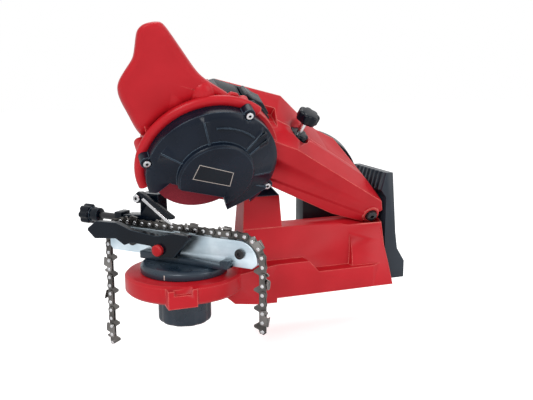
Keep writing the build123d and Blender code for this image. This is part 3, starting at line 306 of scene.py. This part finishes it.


# The third colour, a pale red, is the painted highlight along the edges.
red_plastic = moulded_plastic(
    "red_moulding", (0.41, 0.007, 0.013), (0.48, 0.011, 0.019), (0.80, 0.20, 0.17),
    roughness=0.36, specular=0.2, edge=1.5 * mm, highlight_strength=1.0,
)
softened_piece("base_casting", "base_moulding", red_plastic, width=1.4 * mm)


# ======== column cap ========
# A dark moulded cap closes the top of the column under the arm; its dark colour also stands in for the shade that
# the head casts on the column's top. The screw that stops the arm stands in it.
# The third colour, a pale blue-grey, is the painted highlight along the edges.
dark_plastic = moulded_plastic(
    "dark_moulding", (0.003, 0.006, 0.013), (0.007, 0.012, 0.023), (0.10, 0.15, 0.20),
    roughness=0.26, specular=0.17, edge=1.3 * mm, highlight_strength=1.0,
)
softened_piece("column_cap", "column_cap_moulding", dark_plastic, width=0.8 * mm)


# ======== turning vice ========
# A dark cast turntable carries a channel with the two flat steel plates of the rail between its
# cheeks. The chain stop slides in the channel, and a long lever clamps the plates.
rail_right = Vector(joints["adjusting_turn"]["axis"])
rail_near = -Vector(joints["pawl_lift"]["axis"])
vice_axis = Vector(joints["vice_turn"]["pos_m"])
straight_up = Vector((0, 0, 1))


def cast_metal(name, dark, light, roughness=0.35):
    """Painted or bare casting with a pebbled skin."""
    material, tree, shader, coordinates = blank_material(name, roughness, metallic=0.15)
    clouds = spread(tree, noise(tree, coordinates, scale=40.0, detail=5.0), 0, 1)
    tree.links.new(blend(tree, clouds, dark, light), shader.inputs["Base Color"])
    smudges = noise(tree, coordinates, scale=60.0)
    tree.links.new(
        spread(tree, smudges, roughness - 0.08, roughness + 0.1), shader.inputs["Roughness"],
    )
    pebbles = noise(tree, coordinates, scale=900.0)
    grain(tree, shader, pebbles, depth=0.2, normal=rounded_normal(tree, 0.6 * mm))
    return material


def brushed_steel(name, dark, light, roughness, along=(1, 1, 1)):
    """Steel with fine brushing along one direction."""
    material, tree, shader, coordinates = blank_material(name, roughness, metallic=1.0)
    clouds = spread(tree, noise(tree, coordinates, scale=45.0, detail=4.0), 0, 1)
    tree.links.new(blend(tree, clouds, dark, light), shader.inputs["Base Color"])
    strokes = noise(tree, coordinates, scale=700.0, detail=4.0, stretch=along)
    tree.links.new(
        spread(tree, strokes, roughness - 0.08, roughness + 0.1), shader.inputs["Roughness"],
    )
    rounded = rounded_normal(tree, 0.3 * mm)
    grain(tree, shader, strokes, depth=0.08, normal=rounded, distance=0.1 * mm)
    return material


def dress(material, *names):
    """Construction nodes that are shown as they are take a material."""
    for node in names:
        nodes[node].data.materials.clear()
        nodes[node].data.materials.append(material)


dark_casting = cast_metal(
    "dark_casting", (0.010, 0.020, 0.034), (0.020, 0.036, 0.054), roughness=0.3,
)
plate_steel = brushed_steel(
    "plate_steel", (0.52, 0.64, 0.72), (0.76, 0.87, 0.94), roughness=0.34,
    along=(0.06, 0.06, 1),
)
bright_steel = brushed_steel(
    "bright_steel", (0.52, 0.53, 0.55), (0.74, 0.74, 0.75), roughness=0.22,
)
# The third colour is the painted highlight along the edges.
black_plastic = moulded_plastic(
    "black_moulding", (0.001, 0.003, 0.007), (0.003, 0.007, 0.013), (0.06, 0.09, 0.12),
    roughness=0.22, specular=0.2, edge=1.0 * mm, highlight_strength=1.0,
)
blackened_steel = cast_metal(
    "blackened_steel", (0.008, 0.008, 0.010), (0.016, 0.016, 0.019), roughness=0.26,
)

for node, name, material, width in (
    ("turntable", "turntable_casting", dark_casting, 0.8 * mm),
    ("vice_body", "rail_channel", dark_casting, 0.8 * mm),
    ("rail_plate_front", "rail_plate_near", plate_steel, 0.3 * mm),
    ("rail_plate_back", "rail_plate_far", plate_steel, 0.3 * mm),
    ("clamp_lever", "clamping_lever", black_plastic, 1.5 * mm),
    ("lever_cap", "lever_button", red_plastic, 0.4 * mm),
    ("stop_carriage", "chain_stop_carriage", black_plastic, 0.7 * mm),
    ("screw_bearing", "bearing_block", black_plastic, 0.8 * mm),
    ("pawl", "pawl_arm", black_plastic, 0.7 * mm),
    ("pawl_blade", "pawl_tongue", bright_steel, 0.2 * mm),
):
    softened_piece(node, name, material, width)
dress(bright_steel, "rail_nuts", "rail_spacers", "lever_bolt", "vice_bolt")
dress(blackened_steel, "adjusting_screw")


# ======== screws and knobs of the vice ========
# Two blackened socket screws clamp the rail plates, and a bright one carries the pawl. The
# knobs have soft lobes: a black one turns the long screw, and a cast one locks the turntable.
def islands(node):
    """The corner points of each separate solid of a node."""
    bm = merged(node)
    left = set(bm.verts)
    groups = []
    for start in bm.verts:
        if start not in left:
            continue
        left.remove(start)
        group = [start]
        for vert in group:
            for edge in vert.link_edges:
                other = edge.other_vert(vert)
                if other in left:
                    left.remove(other)
                    group.append(other)
        groups.append([vert.co.copy() for vert in group])
    bm.free()
    return groups


def middle(points):
    """Centre of a group of points."""
    return sum(points, Vector()) / len(points)


def span(points, axis):
    """Lowest and highest place of some points along an axis."""
    heights = [point.dot(axis) for point in points]
    return min(heights), max(heights)


def axis_place(centre, axis, height):
    """Frame with z along an axis, at a height along it, above or below a centre."""
    foot = centre + axis * (height - centre.dot(axis))
    return Matrix.Translation(foot) @ axis.to_track_quat("Z", "Y").to_matrix().to_4x4()


def bevel_rims(bm, verts, width, segments, corner=60):
    """The edges at some vertices that are sharper than a corner in degrees, rounded."""
    chosen = set(verts)
    rims = [
        edge for edge in bm.edges
        if chosen.intersection(edge.verts) and edge.calc_face_angle(0) > radians(corner)
    ]
    bmesh.ops.bevel(
        bm, geom=rims, offset=width, segments=segments, profile=0.5, affect="EDGES",
        clamp_overlap=True, material=-1,
    )


def cylinder(bm, place, radius, height, segments):
    """The corners of a new closed cylinder about the middle of its place."""
    return bmesh.ops.create_cone(
        bm, cap_ends=True, segments=segments, radius1=radius, radius2=radius, depth=height,
        matrix=place,
    )["verts"]


def added(bm, extra, places=(Matrix.Identity(4),)):
    """A mesh with copies of a second one, one at every place."""
    mesh = bpy.data.meshes.new("copy")
    extra.to_mesh(mesh)
    extra.free()
    for place in places:
        first = len(bm.verts)
        bm.from_mesh(mesh)
        bm.verts.ensure_lookup_table()
        bmesh.ops.transform(bm, matrix=place, verts=bm.verts[first:])
    bpy.data.meshes.remove(mesh)
    return bm


def corners(geometry):
    """The vertices among the results of an operator."""
    return [item for item in geometry if isinstance(item, bmesh.types.BMVert)]


def thickened(bm, height):
    """A flat outline made into a plate along z."""
    grown = bmesh.ops.extrude_face_region(bm, geom=bm.faces[:])["geom"]
    bmesh.ops.translate(bm, verts=corners(grown), vec=(0, 0, height))
    bmesh.ops.recalc_face_normals(bm, faces=bm.faces)
    return bm


screw_rounding = 0.22       # shares of the head's height
socket_depth = 0.6
shank_overlap = 0.1
socket_rim = 0.45           # share of the head's radius


def socket_screw(place, radius, height, shank, length):
    """A screw head standing on z = 0 with a round socket, and its shank below."""
    bm = bmesh.new()
    up = place.to_3x3() @ straight_up
    head_place = place @ Matrix.Translation((0, 0, height / 2))
    head = cylinder(bm, head_place, radius, height, segments=24)
    bevel_rims(bm, head, screw_rounding * height, segments=2)
    top = max(bm.faces, key=lambda face: face.calc_center_median().dot(up))
    rim = socket_rim * radius
    bmesh.ops.inset_region(bm, faces=[top], thickness=rim, use_even_offset=True)
    walls = corners(bmesh.ops.extrude_face_region(bm, geom=[top])["geom"])
    bmesh.ops.delete(bm, geom=[top], context="FACES_ONLY")
    bmesh.ops.translate(bm, verts=walls, vec=-up * socket_depth * height)
    for face in {face for vert in walls for face in vert.link_faces}:
        face.material_index = 1
    shank_middle = -length / 2 + shank_overlap * height
    cylinder(bm, place @ Matrix.Translation((0, 0, shank_middle)), shank, length, segments=16)
    return bm


def screw_set(node, name, axis, material, radius, height, shank):
    """New screws for all solids of a node, with their heads where the axis points."""
    bm = bmesh.new()
    for points in islands(node):
        low, high = span(points, axis)
        place = axis_place(middle(points), axis, high - height)
        added(bm, socket_screw(place, radius, height, shank, high - low - height))
    piece = stands_for(as_object(bm, name, material), node)
    piece.data.materials.append(blackened_steel)


screw_set(
    "rail_screws", "rail_socket_screws", rail_near, blackened_steel,
    radius=5.2 * mm, height=3 * mm, shank=2.8 * mm,
)
screw_set(
    "pawl_bolt", "pawl_socket_screw", rail_near, bright_steel,
    radius=4.2 * mm, height=2.8 * mm, shank=2.4 * mm,
)


def lobed_knob(radius, depth, lobes, height, rounding):
    """A knob with soft lobes round its side and rounded rims, standing on z = 0."""
    bm = bmesh.new()
    bmesh.ops.create_circle(bm, cap_ends=True, radius=radius, segments=12 * lobes)
    for vert in bm.verts:
        valley = 0.5 - 0.5 * cos(lobes * atan2(vert.co.y, vert.co.x))
        vert.co *= 1 - depth * valley ** 2 / radius
    thickened(bm, height)
    bevel_rims(bm, bm.verts[:], rounding, segments=4)
    return bm


def collar(bm, radius, low, high):
    """A round collar along z added to a knob."""
    place = Matrix.Translation((0, 0, (low + high) / 2))
    rims = cylinder(bm, place, radius, high - low, segments=40)
    bevel_rims(bm, rims, 0.8 * mm, segments=2)


knob_length = 13 * mm
knob_high = span(islands("adjusting_knob")[0], -rail_right)[1]
screw_axis = Vector(joints["adjusting_turn"]["pos_m"])
turning_knob = lobed_knob(
    radius=11.2 * mm, depth=1.8 * mm, lobes=7, height=12.3 * mm, rounding=2.6 * mm,
)
collar(turning_knob, radius=8 * mm, low=-11 * mm, high=1 * mm)
knob_place = axis_place(screw_axis, -rail_right, knob_high - knob_length)
stands_for(
    as_object(turning_knob, "turning_knob", black_plastic, knob_place), "adjusting_knob",
)

lock_low, lock_high = span(islands("lock_knob")[0], straight_up)
locking_knob = lobed_knob(
    radius=28 * mm, depth=0.7 * mm, lobes=12, height=28 * mm, rounding=5 * mm,
)
collar(locking_knob, radius=14 * mm, low=27 * mm, high=lock_high - lock_low)
lock_place = axis_place(vice_axis, straight_up, lock_low)
stands_for(as_object(locking_knob, "locking_knob", dark_casting, lock_place), "lock_knob")


# A pale index line on the turntable's rim shows the sharpening angle.
def trims(piece, node):
    """A detail rides on the body of the node that carries it."""
    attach(piece, next(body for body, members in bodies.items() if node in members))
    return piece


pale_line = cast_metal("pale_line", (0.42, 0.36, 0.33), (0.52, 0.46, 0.42))
index_side = Vector((-0.645, -0.764, 0))    # from the vice's axis to the line
index_reach = 44.6 * mm
index_rise = 3.4 * mm
index_size = Vector((1.4, 1.2, 5)) * mm
table_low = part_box("turntable")[0]
table_foot = Vector((vice_axis.x, vice_axis.y, table_low[2]))
index_line = bmesh.new()
bmesh.ops.create_cube(
    index_line, size=1,
    matrix=Matrix.Translation(table_foot + index_side * index_reach + straight_up * index_rise)
    @ index_side.to_track_quat("X", "Z").to_matrix().to_4x4()
    @ Matrix.Diagonal((*index_size, 1)),
)
bevel_rims(index_line, index_line.verts[:], 0.3 * mm, segments=2)
trims(as_object(index_line, "index_line", pale_line), "turntable")


# ======== saw chain ========
# A 3/8 inch chain lies over the rail: drive links run between the plates, tie straps and
# cutters stand outside them, and peened rivets hold them. Every piece is hardened steel.
def path_order(places):
    """The rivets one after the other, from the chain's left end."""
    hanging = 2 * mm            # the rivets of the left end hang this close to one line
    rest = list(places)
    left_side = min(rest, key=lambda place: place.dot(rail_right))
    left_end = [place for place in rest if (place - left_side).dot(rail_right) < hanging]
    path = [min(left_end, key=lambda place: place.z)]
    rest.remove(path[0])
    while rest:
        following = min(rest, key=lambda place: (place - path[-1]).length)
        rest.remove(following)
        path.append(following)
    return path


def frame_at(origin, *axes):
    """Frame with three given axes at a place."""
    return Matrix([(*axis, 0) for axis in axes] + [(*origin, 1)]).transposed()


def in_mm(outline):
    """An outline in metres from one in millimetres."""
    return [(x * mm, y * mm) for x, y in outline]


def plate(outline, low, high):
    """A plate along z between two heights."""
    bm = bmesh.new()
    bm.faces.new([bm.verts.new((x, y, low)) for x, y in outline])
    return thickened(bm, high - low)


def rounded_plate(outline, low, high, width, segments=1, corner=50):
    """A plate with rounded edges."""
    bm = plate(outline, low, high)
    bevel_rims(bm, bm.verts[:], width, segments, corner)
    return bm


chain_steel = brushed_steel(
    "chain_steel", (0.06, 0.058, 0.056), (0.16, 0.152, 0.145), roughness=0.32,
)
cutter_steel = brushed_steel(
    "cutter_steel", (0.13, 0.124, 0.12), (0.28, 0.27, 0.26), roughness=0.26,
)
half_pitch = 9.525 / 2 * mm
half_drive_link = 0.75 * mm
link_thickness = 1.3 * mm
link_rounding = 0.25 * mm
side_near = half_drive_link + 0.05 * mm
side_far = -side_near - link_thickness
rivet_path = path_order([middle(points) for points in islands("chain_rivets")])
side_links = list(range(1, len(rivet_path) - 1, 2))
right_cutters = side_links[0::4]    # the two hands take turns, with tie straps between them
left_cutters = side_links[2::4]


def link_places(links, across):
    """Frames of some links: x to the next rivet, y away from the rail, z across the chain."""
    places = []
    for link in links:
        first, second = rivet_path[link], rivet_path[link + 1]
        along = (second - first).normalized()
        centre = (first + second) / 2 + rail_near * across
        places.append(frame_at(centre, along, rail_near.cross(along), rail_near))
    return places


def strap_outline(radius, waist):
    """Round ends about both rivets, joined by a shallow waist above and a flat foot."""
    right = [
        (half_pitch + radius * cos(angle), radius * sin(angle))
        for angle in (radians(-60 + 20 * step) for step in range(8))
    ]
    return right + [(0, waist)] + [(-x, y) for x, y in reversed(right)]


strap_edge = strap_outline(radius=4.0 * mm, waist=2.88 * mm)
tie_straps = added(
    bmesh.new(), rounded_plate(strap_edge, 0, link_thickness, link_rounding),
    link_places([link for link in side_links if link not in right_cutters], side_near)
    + link_places([link for link in side_links if link not in left_cutters], side_far),
)
stands_for(as_object(tie_straps, "tie_straps", chain_steel), "chain_tie_straps")

cutter_side = in_mm((
    (-8.2, -1), (-8.6, 3.6), (-7.2, 6.2), (-5.4, 6.0), (-3.8, 2.6), (-2.4, 3.2), (-1.2, 7.0),
    (0.5, 7.4), (8.0, 6.6), (7.6, 3.0), (7.9, 0), (7.0, -2.6), (5.2, -3.6), (-5.2, -3.6),
    (-7.2, -2.8),
))
cutter_top = in_mm(((-1.2, 0), (8.0, 0), (7.6, -2.6), (-1.6, -5.2)))
top_height = 6.6 * mm       # above the rivets
top_thickness = 0.9 * mm
top_rounding = 0.2 * mm


def cutters(links, near):
    """Cutters of one hand: an upright side with the top plate folded over the chain."""
    side = rounded_plate(cutter_side, 0, link_thickness, link_rounding)
    whole = added(bmesh.new(), side, link_places(links, side_near if near else side_far))
    lean = Matrix.Rotation(radians(-4), 4, "Z")
    flip = Matrix.Identity(4) if near else Matrix.Scale(-1, 4, (0, 0, 1))
    fold = (
        Matrix.Translation((0, top_height, link_thickness if near else 0))
        @ Matrix.Rotation(radians(90), 4, "X")
    )
    top = rounded_plate(cutter_top, 0, top_thickness, top_rounding)
    outside = side_near if near else side_far + link_thickness
    return added(
        whole, top, [place @ flip @ lean @ fold for place in link_places(links, outside)],
    )


for links, near, name, node in (
    (right_cutters, True, "cutters_right", "chain_cutters_right"),
    (left_cutters, False, "cutters_left", "chain_cutters_left"),
):
    stands_for(as_object(cutters(links, near), name, cutter_steel), node)

rivet_radius = 2.1 * mm
rivet_rounding = 0.6 * mm
rivet_head = 0.5 * mm       # stands out of the links
rivet_half = side_near + link_thickness + rivet_head
rivets = bmesh.new()
for rivet in rivet_path:
    place = frame_at(rivet, rail_right, rail_near.cross(rail_right), rail_near)
    made = cylinder(rivets, place, rivet_radius, 2 * rivet_half, segments=14)
    bevel_rims(rivets, made, rivet_rounding, segments=2)
stands_for(as_object(rivets, "rivet_heads", bright_steel), "chain_rivets")
dress(chain_steel, "chain_drive_links")


# ======== arm with the grinding head ========
# Two red half shells, screwed together, make the arm, the round chamber behind the wheel and
# the lobe that the hand presses down on. Positions are along the arm, across it and through it.
arm_near = Vector(joints["arm_swing"]["axis"])
arm_up = Vector(joints["depth_travel"]["axis"])
arm_pivot = Vector(joints["arm_swing"]["pos_m"])
arm_frame = frame_at(arm_pivot, arm_up.cross(arm_near), arm_up, arm_near)
to_arm = arm_frame.inverted()

parting = -35 * mm                      # joint of the two shells
guard_middle = Vector((-223 * mm, 30 * mm, 0))
lobe_lean = Vector((-0.34, 0.41, 0))    # draft of the lobe's walls in the mould
lobe_foot = 74 * mm                     # the lobe starts outside the chamber's wall
lobe_right = -225 * mm
lobe_floor = 20 * mm
hidden_share = 0.5                      # the depth that the shells' own lobe keeps
hidden_inset = 5.5                      # millimetres that it is drawn in


def shell(node, name):
    """A half shell whose own lobe is drawn in, under the smooth skin of the lobe's mould."""
    bm = softened(node, width=1.8 * mm, segments=3)
    bmesh.ops.transform(bm, matrix=to_arm, verts=bm.verts)
    for vert in bm.verts:
        outwards = Vector((vert.co.x, vert.co.y, 0)) - guard_middle
        in_lobe = vert.co.x < lobe_right and vert.co.y > lobe_floor
        if in_lobe and outwards.length > lobe_foot:
            vert.co += (vert.co.z - parting) * lobe_lean
            vert.co.z = parting + (vert.co.z - parting) * hidden_share
            vert.co -= outwards.normalized() * hidden_inset * mm
    stands_for(as_object(bm, name, red_plastic, arm_frame, smooth=20), node)


def on_head(bm, name, smooth):
    """A red detail in the arm's positions, set on the near shell."""
    return trims(as_object(bm, name, red_plastic, arm_frame, smooth), "head_shell_near")


shell("head_shell_near", "head_shell_front")
shell("head_shell_far", "head_shell_rear")

# The lobe's skin: one outline, drawn in step by step towards both faces and then smoothed.
lobe_edge = (
    (-330, 126), (-330, 131), (-327, 138), (-314, 144.5), (-308, 142), (-268, 110.5),
    (-255, 101.5), (-214, 92), (-214, 82), (-236, 76), (-262, 64), (-278, 42), (-284, 18),
    (-309, 47), (-321, 59), (-328, 70), (-329.5, 80), (-325, 100), (-324.5, 106),
)
lobe_steps = ((0.2, 8.0), (0.4, 6.0), (0.9, 4.4), (1.5, 2.8), (2.0, 1.5), (2.5, 0.8), (2.5, 0.3))
near_share = 0.75           # the near half is the shallower one
lobe = plate(in_mm(lobe_edge), low=0, high=0.5 * mm)
for side in (1, -1):
    cap = max(lobe.faces, key=lambda face: side * face.calc_center_median().z)
    for thickness, depth in lobe_steps:
        bmesh.ops.inset_region(
            lobe, faces=[cap], thickness=thickness * mm, depth=depth * mm, use_even_offset=True,
        )
caps = [face for face in lobe.faces if len(face.verts) > 4]
bmesh.ops.poke(lobe, faces=caps, offset=0.5 * mm)
for vert in lobe.verts:
    vert.co += vert.co.z * lobe_lean
    vert.co.z = parting + vert.co.z * (near_share if vert.co.z > 0 else 1)
lobe_skin = on_head(lobe, "handle_lobe", smooth=180)
rounding = lobe_skin.modifiers.new("rounding", "SUBSURF")
rounding.levels = rounding.render_levels = 3


# A round lip stands out of the near shell and frames the guard. A raised cheek lies in front
# of the switch, and a shoulder joins the lobe.
def ring_bar(radius, depth, half, squash, start, sweep, segments, steps):
    """A round bar bent about z = 0, from a start through a sweep in degrees."""
    bm = bmesh.new()
    bmesh.ops.create_circle(bm, cap_ends=True, radius=half, segments=segments)
    bmesh.ops.scale(bm, vec=(1, squash, 1), verts=bm.verts)
    bmesh.ops.transform(
        bm, verts=bm.verts, matrix=Matrix.Rotation(radians(start), 4, "Z")
        @ Matrix.Translation((radius, 0, depth)) @ Matrix.Rotation(radians(90), 4, "X"),
    )
    bmesh.ops.spin(
        bm, geom=bm.faces[:] + bm.edges[:] + bm.verts[:], cent=(0, 0, 0), axis=(0, 0, 1),
        angle=radians(sweep), steps=steps, use_merge=False,
    )
    return bm


lip = ring_bar(
    radius=68.5 * mm, depth=-11 * mm, half=5.5 * mm, squash=0.8, start=70, sweep=150,
    segments=24, steps=64,
)
bmesh.ops.translate(lip, verts=lip.verts, vec=guard_middle)
on_head(lip, "guard_lip", smooth=50)

cheek_edge = (
    (-253, 82), (-253, 99), (-242, 97.5), (-233, 97.5), (-229, 103), (-222, 103), (-215, 97.5),
    (-204, 92), (-188, 86), (-179, 79), (-174, 72), (-180, 64), (-226, 70),
)
cheek = rounded_plate(
    in_mm(cheek_edge), low=-22.5 * mm, high=-18 * mm, width=1.6 * mm, segments=3, corner=40,
)
on_head(cheek, "switch_cheek", smooth=50)

shoulder_middle = Vector((-254, 91, -20)) * mm
shoulder_radii = Vector((17, 12, 9)) * mm
shoulder_turn = radians(-62)
shoulder = bmesh.new()
bmesh.ops.create_uvsphere(
    shoulder, u_segments=32, v_segments=20, radius=1,
    matrix=Matrix.Translation(shoulder_middle) @ Matrix.Rotation(shoulder_turn, 4, "Z")
    @ Matrix.Diagonal((*shoulder_radii, 1)),
)
on_head(shoulder, "lobe_shoulder", smooth=180)


# ======== wheel guard ========
# A dark moulded dish covers the wheel, held by three chromed screws in deep lugs. Ribs stiffen
# it, and the hub carries a bare plate with a fine pale border.
softened_piece("wheel_guard", "wheel_guard_moulding", dark_plastic, width=0.7 * mm)
screw_set(
    "guard_screws", "guard_socket_screws", arm_near, bright_steel,
    radius=3.6 * mm, height=2.2 * mm, shank=1.9 * mm,
)


def on_guard(bm, name, material):
    """A detail drawn about the guard's middle, set on the guard."""
    place = arm_frame @ Matrix.Translation(guard_middle)
    return trims(as_object(bm, name, material, place), "wheel_guard")


hub_front = 19 * mm
badge_thickness = 0.25 * mm
badge_margin = 0.9 * mm
border_width = 0.6 * mm
badge_edge = ((-24.5, -6.9), (18.2, -7.4), (14.3, 10.9), (-24.5, 12.5))
badge = plate(in_mm(badge_edge), hub_front, hub_front + badge_thickness)
front = max(badge.faces, key=lambda face: face.calc_center_median().z)
bmesh.ops.inset_region(badge, faces=[front], thickness=badge_margin, use_even_offset=True)
border = bmesh.ops.inset_region(
    badge, faces=[front], thickness=border_width, use_even_offset=True,
)
for face in border["faces"]:
    face.material_index = 1
on_guard(badge, "bare_plate", black_plastic).data.materials.append(pale_line)

# Three dark bars with rounded edges stand for the painted shade in two vent slots and along a ledge, in
# millimetres from the guard's middle.
slot_shade_bars = bmesh.new()
for start, end, width, low, high in (
    ((23.6, 41.4), (31.6, 55.0), 2.6, 7.0, 10.6),
    ((27.4, 33.6), (36.4, 47.7), 3.0, 7.0, 11.2),
    ((34.2, 7.2), (50.6, 9.6), 0.8, 8.0, 11.6),
):
    first, last = Vector(start) * mm, Vector(end) * mm
    run = last - first
    made = bmesh.ops.create_cube(
        slot_shade_bars, size=1,
        matrix=Matrix.Translation((*(first + last) / 2, (low + high) / 2 * mm))
        @ Matrix.Rotation(atan2(run.y, run.x), 4, "Z")
        @ Matrix.Diagonal((run.length, width * mm, (high - low) * mm, 1)),
    )
    bevel_rims(slot_shade_bars, made["verts"], 0.35 * width * mm, segments=3)
on_guard(slot_shade_bars, "guard_slot_shade", black_plastic)

arc = ring_bar(
    radius=52 * mm, depth=10.2 * mm, half=1.1 * mm, squash=1, start=66, sweep=46,
    segments=10, steps=20,
)
on_guard(arc, "guard_arc_rib", dark_plastic)


# ======== grinding wheel and its drive ========
# A vitrified ruby wheel runs between two steel flanges on the motor's spindle. The motor and
# the bearings sit inside the shells.
motor_paint = cast_metal("motor_paint", (0.05, 0.05, 0.055), (0.08, 0.08, 0.085))
bronze = brushed_steel("bronze", (0.42, 0.27, 0.12), (0.58, 0.40, 0.20), roughness=0.3)
grit, grit_tree, grit_shader, grit_place = blank_material(
    "abrasive_grit", roughness=0.85, specular=0.2,
)
grit_cells = grit_tree.nodes.new("ShaderNodeTexVoronoi")
grit_cells.inputs["Scale"].default_value = 1400.0
grit_tree.links.new(grit_place, grit_cells.inputs["Vector"])
grit_size = grit_cells.outputs["Distance"]
grit_tone = spread(grit_tree, grit_size, 0, 1, start=0.1, end=0.7)
grit_tree.links.new(
    blend(grit_tree, grit_tone, (0.15, 0.010, 0.018), (0.24, 0.022, 0.035)),
    grit_shader.inputs["Base Color"],
)
grain(grit_tree, grit_shader, grit_size, depth=0.5, distance=0.4 * mm)

dress(grit, "grinding_wheel")
dress(motor_paint, "motor")
dress(bronze, "depth_bush", "pivot_bush")
dress(
    bright_steel, "spindle_bearings", "spindle", "inner_flange", "outer_flange", "spindle_nut",
    "depth_screw", "pivot_nut", "arm_spring",
)


# ======== switch, depth stop and screws of the arm ========
# The rocker sits in a black surround let into the shells' top. The depth screw has a lobed
# knob and a lobed lock knob, and the arm turns on a blackened bolt with a socket.
sink = 4.5 * mm             # of the switch at its left end
sink_start = -185 * mm      # along the arm, growing to the left
sink_length = 40 * mm
sink_floor = 90 * mm        # across the arm, growing upwards
sink_height = 10 * mm


def sunk_in(node, name, width):
    """A piece of the switch whose left end lies lower in the shells' top."""
    bm = softened(node, width)
    bmesh.ops.transform(bm, matrix=to_arm, verts=bm.verts)
    for vert in bm.verts:
        high = min(max((vert.co.y - sink_floor) / sink_height, 0), 1)
        left = min(max((sink_start - vert.co.x) / sink_length, 0), 1)
        vert.co.y -= sink * high * left
    stands_for(as_object(bm, name, black_plastic, arm_frame), node)


sunk_in("switch_surround", "switch_frame", width=0.6 * mm)
sunk_in("switch_rocker", "switch_paddle", width=1.0 * mm)
softened_piece("cable_duct", "lead_duct", black_plastic, width=1.0 * mm)
screw_set(
    "pivot_bolt", "pivot_socket_bolt", arm_near, blackened_steel,
    radius=6.6 * mm, height=6 * mm, shank=4.9 * mm,
)
screw_set(
    "shell_screws", "shell_socket_screws", -arm_near, bright_steel,
    radius=3.5 * mm, height=2.6 * mm, shank=1.7 * mm,
)

depth_axis = Vector(joints["depth_turn"]["pos_m"])
depth_low = span(islands("depth_knob")[0], arm_up)[0]
depth_collar = 1.5 * mm     # below the knob
depth_grip = lobed_knob(
    radius=12 * mm, depth=1.5 * mm, lobes=7, height=11.5 * mm, rounding=3.4 * mm,
)
collar(depth_grip, radius=7 * mm, low=-depth_collar, high=1 * mm)
grip_place = axis_place(depth_axis, arm_up, depth_low + depth_collar)
stands_for(as_object(depth_grip, "depth_grip", black_plastic, grip_place), "depth_knob")

ring_low, ring_high = span(islands("depth_lock")[0], arm_up)
lock_ring = lobed_knob(
    radius=11 * mm, depth=1.8 * mm, lobes=7, height=ring_high - ring_low, rounding=2.2 * mm,
)
ring_place = axis_place(depth_axis, arm_up, ring_low)
stands_for(as_object(lock_ring, "depth_lock_grip", black_plastic, ring_place), "depth_lock")


# ======== column stop, battery holder and drive housing ========
# The arm comes down on a bright socket screw in the column's cap. A dark holder with two slide
# rails stands on the right, and a closed housing with a screwed cover holds the drive's board.
# The third colour is the painted highlight along the edges.
battery_plastic = moulded_plastic(
    "battery_moulding", (0.011, 0.016, 0.024), (0.020, 0.028, 0.040), (0.08, 0.11, 0.14),
    roughness=0.36, specular=0.3,
)
for node, name, material, width in (
    ("battery_holder", "battery_holder_moulding", battery_plastic, 0.8 * mm),
    ("electronics_housing", "drive_housing", battery_plastic, 1.2 * mm),
    ("electronics_cover", "drive_housing_cover", battery_plastic, 0.8 * mm),
    ("terminal_block", "terminal_moulding", black_plastic, 0.4 * mm),
):
    softened_piece(node, name, material, width)
screw_set(
    "cover_screws", "cover_socket_screws", Vector((0, 1, 0)), bright_steel,
    radius=3 * mm, height=1.3 * mm, shank=1.4 * mm,
)

board_green, board_tree, board_shader, board_place = blank_material(
    "board_green", roughness=0.5,
)
board_tone = spread(board_tree, noise(board_tree, board_place, scale=300.0), 0, 1)
board_tree.links.new(
    blend(board_tree, board_tone, (0.008, 0.05, 0.02), (0.015, 0.09, 0.035)),
    board_shader.inputs["Base Color"],
)
dress(bright_steel, "stop_bolt")
dress(bronze, "terminal_blades")
dress(board_green, "drive_board")
